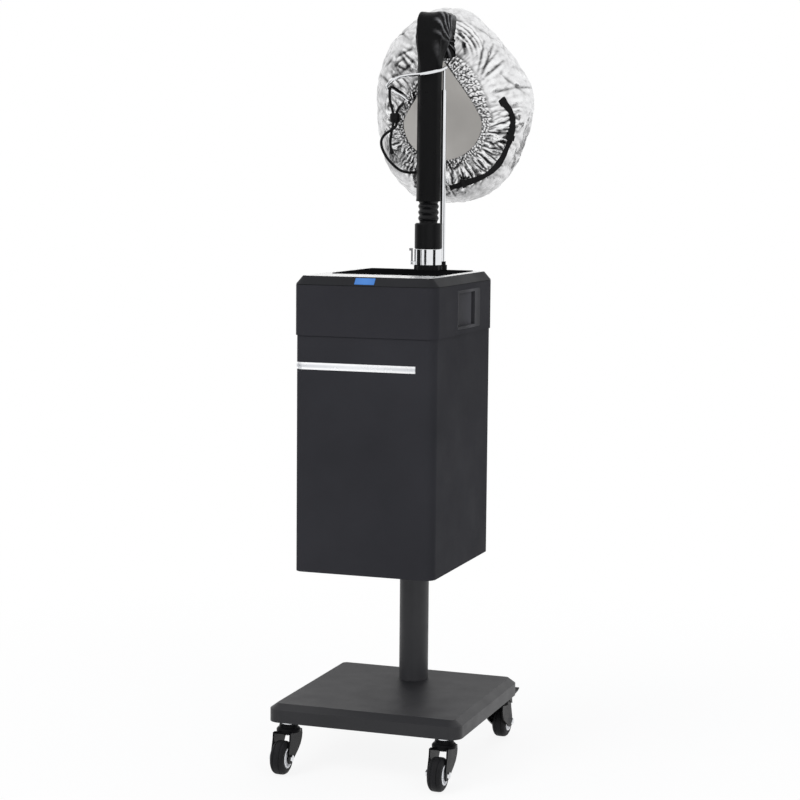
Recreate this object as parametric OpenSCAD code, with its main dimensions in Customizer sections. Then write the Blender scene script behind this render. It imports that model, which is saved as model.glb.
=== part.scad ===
// Floor-standing hair steamer: wheeled base, post, cabinet with boiler, outlet turret, mast and foil bonnet.
// Origin on the floor, midway between the four caster stems. +Z up, the front of the cabinet faces -Y.

/* [Base] */
// Width of the base
base_w = 332; // [300:1:380]
// Depth of the base
base_d = 336; // [320:1:380]
// Height of the base cover
base_h = 30; // [28:1:40]
// Corner radius of the base
base_r = 20; // [18:1:30]
// Width of the bevel round the top of the base
base_bevel_w = 12; // [6:1:12]
// Height of the bevel round the top of the base
base_bevel_h = 9; // [5:1:12]
// Wall of the base cover
base_wall = 3; // [2:0.5:4]
// Thickness of the steel plate in the base
plate_t = 8; // [6:1:10]

/* [Casters] */
// Height from the floor to the underside of the base
caster_h = 82; // [80:1:90]
// Diameter of a wheel
wheel_d = 55.5; // [50:0.5:57]
// Width of a wheel
wheel_w = 24; // [18:1:26]
// Diameter of the pale hub
hub_d = 32; // [24:1:36]
// Diameter of an axle
axle_d = 6; // [5:0.5:8]
// Distance from the stem to the axle, seen from above
swivel_offset = 30; // [26:1:34]
// Distance from a stem to the side of the base
stem_inset_x = 31; // [30:1:40]
// Distance from a stem to the front or back of the base
stem_inset_y = 20; // [19:1:30]
// Diameter of the threaded stem
stem_d = 10; // [8:1:12]
// Sheet thickness of the fork
fork_t = 2.5; // [2:0.5:3]

/* [Post] */
// Diameter of the post
post_d = 50; // [42:1:54]
// Wall of the post
post_wall = 2; // [1.5:0.5:3]
// Distance from the post's axis to the back of the cabinet
post_setback = 43; // [42:1:60]
// Gap between the top of the base and the cabinet
post_reach = 225; // [150:1:300]

/* [Cabinet] */
// Width of the lower body
cab_w = 238; // [230:1:260]
// Depth of the lower body
cab_d = 302; // [295:1:310]
// Distance that the front of the cabinet stands ahead of the base
cab_overhang = 1; // [0:1:6]
// Height of the lower body
body_h = 384; // [380:1:430]
// Height of the top band
band_h = 81; // [76:1:90]
// Height of the lid
lid_h = 14.3; // [13:0.1:18]
// Width of the lid's bevel
lid_bevel_w = 11; // [8:0.5:12]
// Wall of the casings
wall = 3; // [2.5:0.5:3.5]
// Corner radius of the lower body
cab_r = 16; // [15:1:22]
// Distance that the band stands proud of the body
band_proud = 2; // [1.5:0.5:2.5]
// Height of the shadow seam under the lid
seam_h = 0.8; // [0.4:0.1:1.2]

/* [Front trim] */
// Height of the trim strip
strip_h = 11.3; // [8:0.1:16]
// Distance from the band down to the strip
strip_drop = 43; // [30:1:60]
// Distance from the strip's right end to the side of the body
strip_short = 32; // [24:1:60]
// Distance that the strip stands proud
strip_proud = 0.8; // [0.4:0.1:1.2]
// Width of the display window
window_w = 33; // [24:1:44]
// Height of the display window along the bevel
window_h = 12.5; // [9:0.5:13]

/* [Side grips] */
// Width of a grip along the side
grip_w = 120; // [110:1:130]
// Height of a grip
grip_h = 64; // [56:1:66]
// Depth of the finger slot
grip_depth = 33; // [24:1:36]
// Width of the finger slot
grip_slot_w = 14; // [12:1:16]
// Depth of the scoop ahead of the slot
grip_scoop = 9; // [5:0.5:10]

/* [Deck] */
// Thickness of the pale rim plate
rim_t = 1.8; // [1.6:0.1:2.2]
// Width of the black panel
panel_w = 182; // [170:1:190]
// Depth of the black panel, flap and outlet plate together
panel_d = 187; // [180:1:195]
// Thickness of the black panel
panel_t = 3.2; // [3:0.1:3.6]
// Depth of the fill flap
flap_d = 103; // [90:1:110]
// Diameter of the flap's pin
flap_pin_d = 3; // [2.5:0.5:3.5]
// Side of the start key
key_w = 14; // [10:1:16]
// Travel of the start key
key_travel = 1.2; // [0.8:0.1:1.5]

/* [Outlet] */
// Distance of the outlet right of the centre line
outlet_x = 20; // [10:1:24]
// Distance from the outlet's axis to the back of the cabinet
outlet_setback = 47; // [45:1:50]
// Diameter of the scalloped ring
ring_d = 48; // [46:1:50]
// Height of the scalloped ring
ring_h = 8; // [7:0.5:10]
// Number of lobes on the ring
ring_lobes = 9; // [6:1:12]
// Outer diameter of the socket
socket_d = 46.4; // [44:0.2:47]
// Height of the socket above the ring
socket_h = 28; // [24:1:34]
// Bore of the socket
socket_bore = 40; // [38:0.5:41]
// Outer diameter of the neck that turns in the deck
neck_d = 30; // [28:1:32]
// Bore of the neck
neck_bore = 24; // [22:1:25]
// Outer diameter of the cuff
cuff_d = 45.8; // [44:0.2:46.4]
// Height of the cuff above the socket
cuff_h = 43; // [36:1:50]

/* [Hose and sleeve] */
// Outer diameter over the hose's ribs
hose_d = 34.8; // [33:0.1:35]
// Outer diameter between the ribs
hose_waist_d = 30.4; // [29:0.2:31]
// Bore of the hose
hose_bore = 27; // [24:0.5:27.5]
// Distance from rib to rib
rib_pitch = 10; // [7:0.5:12]
// Length of ribbed hose that shows under the sleeve
hose_shown = 37; // [33:1:44]
// Outer diameter of the sleeve
sleeve_d = 37.6; // [37.2:0.1:38.4]
// Thickness of the sleeve's cloth
sleeve_t = 1; // [0.8:0.1:1]
// Length of the straight part of the sleeve
sleeve_len = 231; // [215:1:240]
// Outer diameter of the bend at the top of the sleeve
collar_d = 45; // [42:1:48]
// Angle that the bend turns to the right
elbow_turn = 35; // [0:1:40]

/* [Mast] */
// Diameter of the mast tube
mast_d = 10; // [9.5:0.5:10.5]
// Diameter of the rod in the tube
rod_d = 5.5; // [4.5:0.5:6]
// Length of the mast tube
mast_len = 300; // [260:1:310]
// Distance from the deck to the top of the rod
rod_top = 334; // [320:1:345]
// Sideways distance from the outlet's axis to the mast
mast_u = 24; // [24:0.5:27]
// Distance from the outlet's axis back to the mast
mast_w = 18; // [17.5:0.5:19]
// Travel of the rod up from its rest on the floor of the tube
rod_rise = 150; // [80:5:150]

/* [Bonnet] */
// Angle that the bonnet's opening turns to the right
bonnet_turn = 19; // [10:1:30]
// Width of the bonnet
bonnet_w = 269; // [240:1:300]
// Height of the bonnet
bonnet_h = 330; // [300:1:350]
// Depth of the bonnet
bonnet_depth = 165; // [140:1:200]
// Width of the bonnet's opening
mouth_w = 134; // [110:1:160]
// Height of the bonnet's opening
mouth_h = 192; // [170:1:194]
// Thickness of the bonnet's wall
bonnet_t = 2.4; // [2:0.2:3]
// Number of pleats round the opening
pleats = 16; // [8:1:20]
// Diameter of the drawcord
cord_d = 4; // [3:0.2:4]
// Diameter of the barrel lock
lock_d = 17; // [15:0.5:18]
// Height of the barrel lock
lock_h = 16; // [14:1:20]
// Width of the flat strap
strap_w = 9.5; // [7:0.5:11]
// Thickness of the flat strap
strap_t = 1.4; // [1:0.2:2]

/* [Inside] */
// Diameter of the boiler
boiler_d = 78; // [60:1:80]
// Height of the boiler
boiler_h = 150; // [120:1:160]
// Width of the water tank
tank_w = 170; // [140:1:190]
// Depth of the water tank
tank_d = 150; // [136:1:160]
// Height of the water tank
tank_h = 200; // [150:1:206]
// Wall of the water tank
tank_wall = 2.5; // [2:0.5:3]
// Diameter of the tank cap
cap_d = 52; // [44:1:56]
// Thickness of the shelf and floor sheets
sheet_t = 3; // [2:0.5:4]

/* [Hidden] */
$fn = 48;
hull_fn = 32;      // circles that only feed a hull
slack = 0.3;       // gap between pieces that are seated loosely
run = 0.05;        // radial clearance of a turning or sliding fit
over = 1;          // how far a cut runs past a face

// Levels
base_z = caster_h;
base_top = base_z + base_h;
cab_z = base_top + post_reach;
band_z = cab_z + body_h;
lid_z = band_z + band_h;
lid_top = lid_z + lid_h;

// Base
cab_front = -base_d / 2 - cab_overhang;
cab_back = cab_front + cab_d;
stem_x = base_w / 2 - stem_inset_x;
stem_y = base_d / 2 - stem_inset_y;
plate_gap = 0.4;
plate_top = base_z + plate_t;
boss_d = 12;
boss_x = base_w / 2 - 70;
boss_y = base_d / 2 - 24;
screw_d = 4;
post_y = cab_back - post_setback;
foot_w = 104;
foot_t = 6;
foot_bolt = 37;
bolt_d = 8;
foot_bolt_head = 15;
screw_head = 8;

// Casters
wheel_r = wheel_d / 2;
fork_in = wheel_w / 2 + 1.5;
fork_out = fork_in + fork_t;
fork_z = wheel_d + 7.5;
crown_t = 3;
race_h = 11.5;
race_r = 20;
collar_z = base_z - 4;
axle_len = 2 * fork_out + 9;
pedal_pivot = [24, fork_z + 1];
pedal_pin_d = 3;
pedal_tip = 74;
brake_swing = 12;
shoe_gap = 0.5;

// Cabinet
cab_y = cab_front + cab_d / 2;
band_w = cab_w + 2 * band_proud;
band_d = cab_d + 2 * band_proud;
band_r = cab_r + band_proud;
band_in = band_proud - wall;
spigot_h = 8;
floor_z = cab_z + 8;
head_t = 5;
head_w = 120;
head_d = 2 * (cab_back - wall - post_y - 2);
head_bolt_x = 46;
head_bolt_y = 27;
head_bolt_d = 6;
strip_z = band_z - strip_drop - strip_h;
strip_right = cab_w / 2 - strip_short;
strip_groove = 0.8;

// Back panel
panel_x = 206;
panel_low = 24;
panel_high = 336;
panel_lap = 8;
back_t = 1.6;
inlet_w = 28;
inlet_h = 20;
inlet_x = -64;
inlet_z = cab_z + 58;
rocker_w = 14;
rocker_h = 22;
rocker_x = inlet_x;
rocker_z = inlet_z + 42;
rocker_tilt = 6;
rocker_dish_r = 31;
rocker_dish_y = 2.6;
vent_n = 7;
vent_w = 120;
vent_h = 5;
vent_pitch = 12;
vent_low = cab_z + 200;

// Side grips
grip_y = cab_y + 18.5;
grip_z = band_z + band_h - 9 - grip_h / 2;
grip_rim = 5;
grip_block = 12;
slot_y = 24;

// Deck
skin = 3;
deck_z = lid_top - rim_t + 0.2;
rim_inset = 1.4;
rim_w = band_w - 2 * lid_bevel_w - 2 * rim_inset;
rim_d = band_d - 2 * lid_bevel_w - 2 * rim_inset;
panel_gap = 0.4;
panel_z = deck_z;
panel_top = panel_z + panel_t;
panel_back = cab_back + band_proud - lid_bevel_w - 10;
panel_front = panel_back - panel_d;
hinge_y = panel_front + flap_d + 3.6;
hinge_z = panel_top - 3.8;
knuckle_r = 3.2;
knuckle_x = 58;
knuckle_l = 30;
plate_front = hinge_y + 6.4;
ear_l = 8;
well_w = panel_w - 16;
well_front = panel_front + 8;
well_back = hinge_y - 8;
key_y = cab_front + 42;
key_x = 40;
key_seat = lid_top - skin - slack;
bevel_run = lid_h - 1.2;
bevel_len = sqrt(lid_bevel_w * lid_bevel_w + bevel_run * bevel_run);
bevel_tilt = atan2(bevel_run, lid_bevel_w);
bevel_skin = (wall * bevel_run + skin * lid_bevel_w) / bevel_len;
bevel_mid = [cab_front - band_proud + lid_bevel_w / 2, lid_z + 1.2 + bevel_run / 2];

// Outlet
outlet_y = cab_back - outlet_setback;
turret_z = panel_top + slack;
ring_top = turret_z + ring_h;
socket_top = ring_top + socket_h;
cuff_top = socket_top + cuff_h;
cuff_seat = 20;
tube_low = lid_z - 8;
neck_low = tube_low - 6;
neck_lip = 1.5;
pipe_d = neck_bore - 2 * run;
pipe_wall = 1.5;
pipe_top = ring_top;
ear_r = mast_d / 2 + 3.5;
lever_l = 25;
lever_w = 9;
lever_t = 3;
lever_pin_d = 3;
lever_r = socket_d / 2 + 4;
lever_z = ring_top + 3.5;

// Hose, sleeve and mast
hose_low = cuff_top - 16;
sleeve_low = cuff_top + hose_shown;
sleeve_bend_z = sleeve_low + sleeve_len + 34;
hose_top = sleeve_low + sleeve_len - 10;
hose_ribs = floor((hose_top - cuff_top - 8) / rib_pitch);
rib_low = cuff_top + 3;
bend_r = 27;
sleeve_run = 24;
sleeve_sides = 28;
// The sleeve's rings from the hem up, round the bend and into the bonnet
sleeve_top = sleeve_low + sleeve_len;
sleeve_rows = concat([[0, sleeve_low, 0, sleeve_d / 2, 0],
    [0, sleeve_low + 0.3 * sleeve_len, 0, sleeve_d / 2, 0],
    [0, sleeve_low + 0.6 * sleeve_len, 0, sleeve_d / 2 + 0.4, 0], [0, sleeve_top, 0, sleeve_d / 2, 0],
    [0, sleeve_top + 14, 0, sleeve_d / 2 + 1.6, 0], [0, sleeve_bend_z - 6, 0, collar_d / 2 - 0.6, 0]],
    [for (i = [0 : 8]) let (v = 90 * i / 8, pinch = i % 2 == 1 ? 2.4 : 0)
        [bend_r * (1 - cos(v)), sleeve_bend_z + bend_r * sin(v), v, collar_d / 2, pinch]],
    [[bend_r + sleeve_run / 2, sleeve_bend_z + bend_r, 90, collar_d / 2, 0],
    [bend_r + sleeve_run, sleeve_bend_z + bend_r, 90, collar_d / 2, 0]]);
mast_low = turret_z + 2;
rod_low = mast_low + 3 + slack;
rod_high = panel_top + rod_top;
hook_w = -sleeve_d / 2 - rod_d / 2 - 4;

// Hook bent at the top of the rod: points across, back and up from the outlet's axis at the rod's top
hook_route = [[mast_u, mast_w, -4], [mast_u, mast_w, 0], [mast_u + 0.6, mast_w - 1.5, 3],
    [mast_u + 1.5, mast_w - 5, 5], [mast_u + 3, 4, 5.5], [mast_u + 3.5, -8, 5],
    [mast_u + 2.5, hook_w + 5, 3.5], [mast_u - 1, hook_w + 1, 1.5], [mast_u - 6, hook_w, -0.5],
    [mast_u - 20, hook_w, -4], [mast_u - 40, hook_w, -8], [mast_u - 58, hook_w + 3, -9.5],
    [mast_u - 72, hook_w + 14, -11.5], [mast_u - 84, hook_w + 27, -15.5],
    [mast_u - 91, hook_w + 35, -20], [mast_u - 96, hook_w + 39, -26], [mast_u - 95, hook_w + 41, -31],
    [mast_u - 90, hook_w + 42, -33.5], [mast_u - 84, hook_w + 43, -34.5],
    [mast_u - 72, hook_w + 46, -41], [mast_u - 60, hook_w + 49, -49]];

// Bonnet
bonnet_u = 48.5;
bonnet_z = rod_high - 58;
mouth_u = 22.7;
mouth_z = bonnet_z - 1;
mouth_back = 30;
bonnet_sides = 64;
// Front part: share of the way from opening to full size, share of the depth, pleat height
front_rows = [[0, 0, 0.6], [0.10, -0.008, 1.6], [0.32, 0, 2], [0.62, 0.04, 2], [0.86, 0.14, 1.4],
    [1, 0.34, 0.6]];
// Back part: share of the full size, share of the depth
back_rows = [[0.99, 0.52], [0.9, 0.72], [0.7, 0.87], [0.38, 0.97]];

// Cords: points across, back and up from the outlet's axis at the height of the rod's top
loop_route = [[-44.5, 31, -54], [-46, 25, -56], [-48.5, 18, -59], [-52, 14, -63], [-54.5, 12.3, -69],
    [-55, 12, -75], [-55, 12, -81], [-55, 12, -87], [-56, 9.4, -92], [-60, 6.6, -96.5],
    [-68, 6.4, -102], [-76, 8.4, -108.5], [-80.5, 11.2, -117], [-80, 13.5, -127], [-76, 15, -137],
    [-70, 16, -147], [-62, 17, -156], [-54, 18, -163], [-45, 19, -168], [-35, 20.5, -170],
    [-25, 22.5, -170], [-15, 25, -168], [-6, 26.5, -163], [1, 28, -158], [5, 31, -153]];
hang_route = [[-42, 31, -44], [-46, 27, -38], [-54, 24, -32.5], [-60.5, 20.6, -28.5],
    [-64.6, 16.5, -27.4], [-66.2, 12.4, -28.7], [-67, 10.5, -32.8], [-67.2, 10.1, -39.5],
    [-66.8, 10.5, -48], [-65, 11.3, -57], [-62.6, 11.8, -65], [-61, 12, -72], [-61, 12, -79],
    [-61, 12, -87], [-62, 12, -96], [-64, 12.5, -106], [-65.5, 13, -117], [-65, 13.5, -127],
    [-63, 14, -136]];
strap_route = [[121, 31, -45], [128, 28, -54], [136, 29, -64], [141, 30, -76], [141, 30, -90],
    [139, 29.5, -104], [136, 29, -117], [130, 28.5, -132], [124, 28, -145], [116, 27.5, -157],
    [106, 27, -167], [94, 26.5, -175], [80, 26, -181], [66, 26, -186], [52, 26.5, -191], [42, 29, -194],
    [36, 33, -196]];
lock_at = [-58, 12, -79];
bead_r = 4;

// Water side
shelf_drop = 178;
shelf_z = band_z - shelf_drop;
tank_z = shelf_z + sheet_t;
tank_y = cab_front + wall + 8 + tank_d / 2;
tank_top = tank_z + tank_h;
filler_y = well_front + cap_d / 2 + 6;
neck_r = cap_d / 2 - 5;
cap_z = lid_z - 26;
cap_h = 14;
filler_rise = 9;
boiler_z = floor_z + sheet_t + 28;
boiler_top = boiler_z + boiler_h;
element_d = 8;
element_bend = 16;
element_rise = 70;
element_tail = 14;
pump_x = -62;
pump_y = cab_front + 62;
pump_z = floor_z + sheet_t + 12;
pump_axis = 15.5;
pump_w = 56;
pump_d = 40;
pump_foot = 12;
pump_can = 34;
pump_len = 64;
pump_neck = 12;
pump_neck_low = 28;
pump_neck_h = 14;
tube_d = 8;
tube_rise = 6;
feed_x = outlet_x + 30;
feed_y = outlet_y - boiler_d / 2 - 14;
feed_lift = 24;
board_z = lid_z - 12;
board_w = 120;
board_d = 66;

// Helpers
module rrect(w, d, r) {
    square([w - 2 * r, d], center = true);
    square([w, d - 2 * r], center = true);
    for (x = [-1, 1], y = [-1, 1]) translate([x * (w / 2 - r), y * (d / 2 - r)]) circle(r);
}
module rbox(w, d, h, r) { linear_extrude(h) rrect(w, d, r); }
module ring_box(w, d, h, r, t) {
    difference() {
        rbox(w, d, h, r);
        translate([0, 0, -over]) rbox(w - 2 * t, d - 2 * t, h + 2 * over, r - t);
    }
}
// Box whose top edge is bevelled, inset by bw over a height bh
module bevel_box(w, d, h, r, bw, bh) {
    hull() for (x = [-1, 1], y = [-1, 1]) translate([x * (w / 2 - r), y * (d / 2 - r), 0]) {
        cylinder(r = r, h = h - bh, $fn = hull_fn);
        cylinder(r = r - bw, h = h, $fn = hull_fn);
    }
}
module at_bonnet() { translate([outlet_x, outlet_y, 0]) rotate([0, 0, bonnet_turn]) children(); }
module at_rod_top() { at_bonnet() translate([0, 0, rod_high]) children(); }
module bar(a, b, r) {
    v = b - a;
    translate(a) rotate([0, acos(v[2] / norm(v)), atan2(v[1], v[0])]) cylinder(r = r, h = norm(v));
}
// Tube with a round fitting at each corner
module piped(route, r) {
    for (i = [0 : len(route) - 2]) bar(route[i], route[i + 1], r);
    for (i = [1 : len(route) - 2]) translate(route[i]) sphere(r + 1.5);
}
module hex(flats, h) { cylinder(d = flats / cos(30), h = h, $fn = 6); }
module countersunk(d, head, l) {
    cylinder(d1 = head, d2 = d, h = (head - d) / 2);
    cylinder(d = d, h = l);
}

// A section swept along a route, with the route's own points as its rings
function unit(v) = v / norm(v);
function heading(p, i) = unit(p[min(i + 1, len(p) - 1)] - p[max(i - 1, 0)]);
function sweep_ring(p, i, section) =
    let (t = heading(p, i), a = unit(cross(t, [0, 1, 0])), b = cross(t, a))
    [for (s = section) p[i] + s[0] * a + s[1] * b];
function round_section(r, n) = [for (k = [0 : n - 1]) [r * cos(360 * k / n), r * sin(360 * k / n)]];
module sweep(p, section) {
    n = len(section);
    rings = len(p);
    points = [for (i = [0 : rings - 1]) each sweep_ring(p, i, section)];
    ends = concat([for (k = [1 : n - 2]) [0, k, k + 1]],
        [for (k = [1 : n - 2]) let (o = (rings - 1) * n) [o, o + k + 1, o + k]]);
    sides = [for (i = [0 : rings - 2], k = [0 : n - 1]) let (a = i * n + k, b = i * n + (k + 1) % n)
        each [[a, a + n, b], [b, a + n, b + n]]];
    polyhedron(points, concat(ends, sides));
}

// Base
module base_cover() color([0.30, 0.30, 0.31]) difference() {
    union() {
        difference() {
            translate([0, 0, base_z]) bevel_box(base_w, base_d, base_h, base_r, base_bevel_w, base_bevel_h);
            translate([0, 0, base_z - over])
                bevel_box(base_w - 2 * base_wall, base_d - 2 * base_wall, base_h - base_wall + over,
                    base_r - base_wall, base_bevel_w, base_bevel_h);
        }
        for (x = [-1, 1], y = [-1, 1]) translate([x * boss_x, y * boss_y, plate_top])
            cylinder(d = boss_d, h = base_h - plate_t - base_wall / 2);
    }
    translate([0, post_y, base_top - 2 * base_wall]) cylinder(d = post_d + 2 * slack, h = 3 * base_wall);
    for (x = [-1, 1], y = [-1, 1]) translate([x * boss_x, y * boss_y, plate_top - over])
        cylinder(d = screw_d + 2 * run, h = 13);
}
module base_plate() color([0.45, 0.45, 0.47]) difference() {
    translate([0, 0, base_z]) rbox(base_w - 2 * (base_wall + plate_gap), base_d - 2 * (base_wall + plate_gap),
        plate_t, base_r - base_wall - plate_gap);
    for (x = [-1, 1], y = [-1, 1]) {
        translate([x * stem_x, y * stem_y, base_z - over])
            cylinder(d = stem_d + 2 * run, h = plate_t + 2 * over);
        translate([x * boss_x, y * boss_y, base_z]) plate_screw_hole(screw_d, screw_head);
        translate([x * foot_bolt, post_y + y * foot_bolt, base_z]) plate_screw_hole(bolt_d, foot_bolt_head);
    }
}
module plate_screw_hole(d, head) {
    translate([0, 0, -over]) cylinder(d = d + 4 * run, h = plate_t + 2 * over);
    translate([0, 0, -0.01]) cylinder(d1 = head + 4 * run, d2 = d + 4 * run, h = (head - d) / 2);
}
module base_bolts() color([0.75, 0.75, 0.77]) {
    for (x = [-1, 1], y = [-1, 1]) {
        translate([x * boss_x, y * boss_y, base_z]) countersunk(screw_d, screw_head, plate_t + 11);
        translate([x * foot_bolt, post_y + y * foot_bolt, base_z])
            countersunk(bolt_d, foot_bolt_head, plate_t + foot_t + 7);
        translate([x * foot_bolt, post_y + y * foot_bolt, plate_top + foot_t]) nut(bolt_d, 13, 6);
    }
}
module nut(d, flats, h) {
    difference() {
        hex(flats, h);
        translate([0, 0, -over]) cylinder(d = d + 2 * run, h = h + 2 * over);
    }
}
module post() color([0.27, 0.27, 0.29]) difference() {
    union() {
        translate([0, post_y, plate_top]) cylinder(d = post_d, h = floor_z - plate_top);
        translate([0, post_y, plate_top]) rbox(foot_w, foot_w, foot_t, 8);
        translate([0, post_y, floor_z - head_t]) rbox(head_w, head_d, head_t, 6);
    }
    translate([0, post_y, plate_top - over])
        cylinder(d = post_d - 2 * post_wall, h = floor_z - plate_top + 2 * over);
    for (x = [-1, 1], y = [-1, 1]) {
        translate([x * foot_bolt, post_y + y * foot_bolt, plate_top - over])
            cylinder(d = bolt_d + 4 * run, h = foot_t + 2 * over);
        translate([x * head_bolt_x, post_y + y * head_bolt_y, floor_z - head_t - over])
            cylinder(d = head_bolt_d + 4 * run, h = head_t + 2 * over);
    }
}

// Casters: local frame has its origin under the stem at floor level, with the wheel trailing toward +Y
module caster_stems() color([0.8, 0.8, 0.82]) for (x = [-1, 1], y = [-1, 1])
    translate([x * stem_x, y * stem_y, 0]) {
    translate([0, 0, fork_z - 4]) cylinder(d = 17, h = 4 - slack);
    translate([0, 0, fork_z - slack]) cylinder(d = stem_d, h = plate_top + 12 - fork_z + slack);
    translate([0, 0, collar_z]) cylinder(d = 24, h = base_z - collar_z);
    translate([0, 0, plate_top]) nut(stem_d, 17, 8);
}
module leg_outline() {
    polygon([[-20, fork_z + 1], [-21.5, fork_z - 5], [-19.5, fork_z - 13], [-13, fork_z - 22],
        [-3, fork_z - 29], [swivel_offset - 9, wheel_r - 7], [swivel_offset - 6, wheel_r - 8.5],
        [swivel_offset + 6, wheel_r - 8.5], [swivel_offset + 9.5, wheel_r + 2],
        [swivel_offset + 6, wheel_r + 13], [swivel_offset + 1, fork_z - 8],
        [swivel_offset - 1, fork_z + 5], [swivel_offset - 9, fork_z + 5],
        [swivel_offset - 12, fork_z + 1]]);
    translate([swivel_offset, wheel_r]) circle(r = 9.5);
}
module leg() { rotate([90, 0, 90]) linear_extrude(fork_t) leg_outline(); }
module fork(pedal) color([0.08, 0.08, 0.08]) difference() {
    union() {
        translate([fork_in, 0, 0]) leg();
        translate([-fork_out, 0, 0]) leg();
        translate([-fork_out, -20, fork_z]) cube([2 * fork_out, 38, crown_t]);
        translate([0, 0, fork_z + crown_t]) rotate_extrude()
            polygon([[0, -over], [race_r, -over], [race_r, 3], [race_r - 2, 5.5], [race_r - 4, 6.5],
                [race_r - 5, race_h], [0, race_h]]);
    }
    translate([0, 0, fork_z - over]) cylinder(d = stem_d + 2 * run, h = race_h + crown_t + 2 * over);
    translate([-fork_out - over, swivel_offset, wheel_r]) rotate([0, 90, 0])
        cylinder(d = axle_d + 2 * run, h = 2 * fork_out + 2 * over);
    if (pedal) translate([-fork_out - over, pedal_pivot[0], pedal_pivot[1]]) rotate([0, 90, 0])
        cylinder(d = pedal_pin_d + 2 * run, h = 2 * fork_out + 2 * over);
}
module axle() color([0.82, 0.82, 0.84]) translate([0, swivel_offset, wheel_r]) rotate([0, 90, 0]) {
    translate([0, 0, -axle_len / 2]) cylinder(d = axle_d, h = axle_len);
    translate([0, 0, -fork_out - 4]) hex(10, 4);
    translate([0, 0, fork_out]) nut(axle_d, 10, 4);
}
module wheel() color([0.05, 0.05, 0.05]) translate([0, swivel_offset, wheel_r]) rotate([0, 90, 0])
    difference() {
    rotate_extrude() wheel_profile();
    translate([0, 0, -wheel_w]) cylinder(d = axle_d + 2 * run, h = 2 * wheel_w);
}
// Half outline of the wheel: flat hub, shallow groove, rounded tread
module wheel_profile() {
    h = wheel_w / 2;
    shoulder = 8;
    arc = [for (a = [0 : 15 : 90]) [wheel_r - shoulder + shoulder * sin(a),
        h - shoulder * 0.9 + shoulder * 0.9 * cos(a)]];
    side = concat([[0, h + 1], [hub_d / 2 - 1, h + 1], [hub_d / 2, h], [hub_d / 2 + 0.6, h - 2],
        [hub_d / 2 + 1.4, h]], arc);
    polygon(concat(side, [for (i = [len(side) - 1 : -1 : 0]) [side[i][0], -side[i][1]]]));
}
// Point of the shoe at rest, which lies shoe_gap off the tread once the pedal has swung down
function shoe(a) = let (d = [swivel_offset, wheel_r] + (wheel_r + shoe_gap) * [cos(a), sin(a)] - pedal_pivot,
    c = cos(brake_swing), n = sin(brake_swing)) pedal_pivot + [d[0] * c - d[1] * n, d[0] * n + d[1] * c];
module brake_pedal() color([0.1, 0.1, 0.1]) {
    translate([-fork_out - 1, pedal_pivot[0], pedal_pivot[1]]) rotate([0, 90, 0])
        cylinder(d = pedal_pin_d, h = 2 * fork_out + 2);
    rotate([90, 0, 90]) translate([0, 0, -fork_in + 0.6]) linear_extrude(2 * fork_in - 1.2)
        polygon(concat([[pedal_pivot[0] - 3, fork_z + 4.5], [pedal_pivot[0] - 2, fork_z - 1.2]],
            [for (a = [84 : -6 : 54]) shoe(a)],
            [[swivel_offset + 16, fork_z + 3], [swivel_offset + 15, fork_z + 12],
                [pedal_pivot[0] + 4, fork_z + 7]]));
    rotate([90, 0, 90]) translate([0, 0, -fork_out - 1.5]) linear_extrude(2 * fork_out + 3)
        polygon([[swivel_offset + 13, fork_z + 8.6], [pedal_tip - 8, fork_z + 10.5], [pedal_tip, fork_z + 13],
            [pedal_tip, fork_z + 15], [pedal_tip - 9, fork_z + 13.5], [swivel_offset + 13, fork_z + 11.5]]);
}
// side -1 is left, end -1 is the front; the wheel trails outward
module at_caster(side, end) {
    translate([side * stem_x, end * stem_y, 0]) rotate([0, 0, end < 0 ? 180 : 0]) children();
}

// Cabinet
module chassis_floor() color([0.6, 0.6, 0.62]) difference() {
    translate([0, cab_y, floor_z])
        rbox(cab_w - 2 * wall - 2 * slack, cab_d - 2 * wall - 2 * slack, sheet_t, cab_r - wall - slack);
    for (x = [-1, 1], y = [-1, 1]) translate([x * head_bolt_x, post_y + y * head_bolt_y, floor_z - over])
        cylinder(d = head_bolt_d + 4 * run, h = sheet_t + 2 * over);
}
module body_shell() color([0.20, 0.20, 0.21]) difference() {
    union() {
        translate([0, cab_y, cab_z]) rbox(cab_w, cab_d, body_h, cab_r);
        translate([0, cab_y, band_z - over])
            rbox(band_w - 2 * wall - 2 * slack, band_d - 2 * wall - 2 * slack,
            spigot_h + over, band_r - wall - slack);
    }
    translate([0, cab_y, cab_z - over])
        rbox(cab_w - 2 * wall, cab_d - 2 * wall, body_h + spigot_h + 3 * over, cab_r - wall);
    translate([-panel_x / 2, cab_back - back_t, cab_z + panel_low])
        cube([panel_x, wall, panel_high - panel_low]);
    translate([-panel_x / 2 + panel_lap, cab_back - wall - over, cab_z + panel_low + panel_lap])
        cube([panel_x - 2 * panel_lap, wall + 2 * over, panel_high - panel_low - 2 * panel_lap]);
    translate([0, 0, strip_z - 0.1]) strip_cut(strip_h + 0.2, 0.1);
    for (x = [-1, 1], z = [panel_low, panel_high])
        translate([x * (panel_x / 2 - 4), cab_back + over, panel_screw_z(z)])
        rotate([90, 0, 0]) cylinder(d = 3 + 2 * run, h = 8);
}
function panel_screw_z(z) = cab_z + (z == panel_low ? z + 4 : z - 4);
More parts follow.
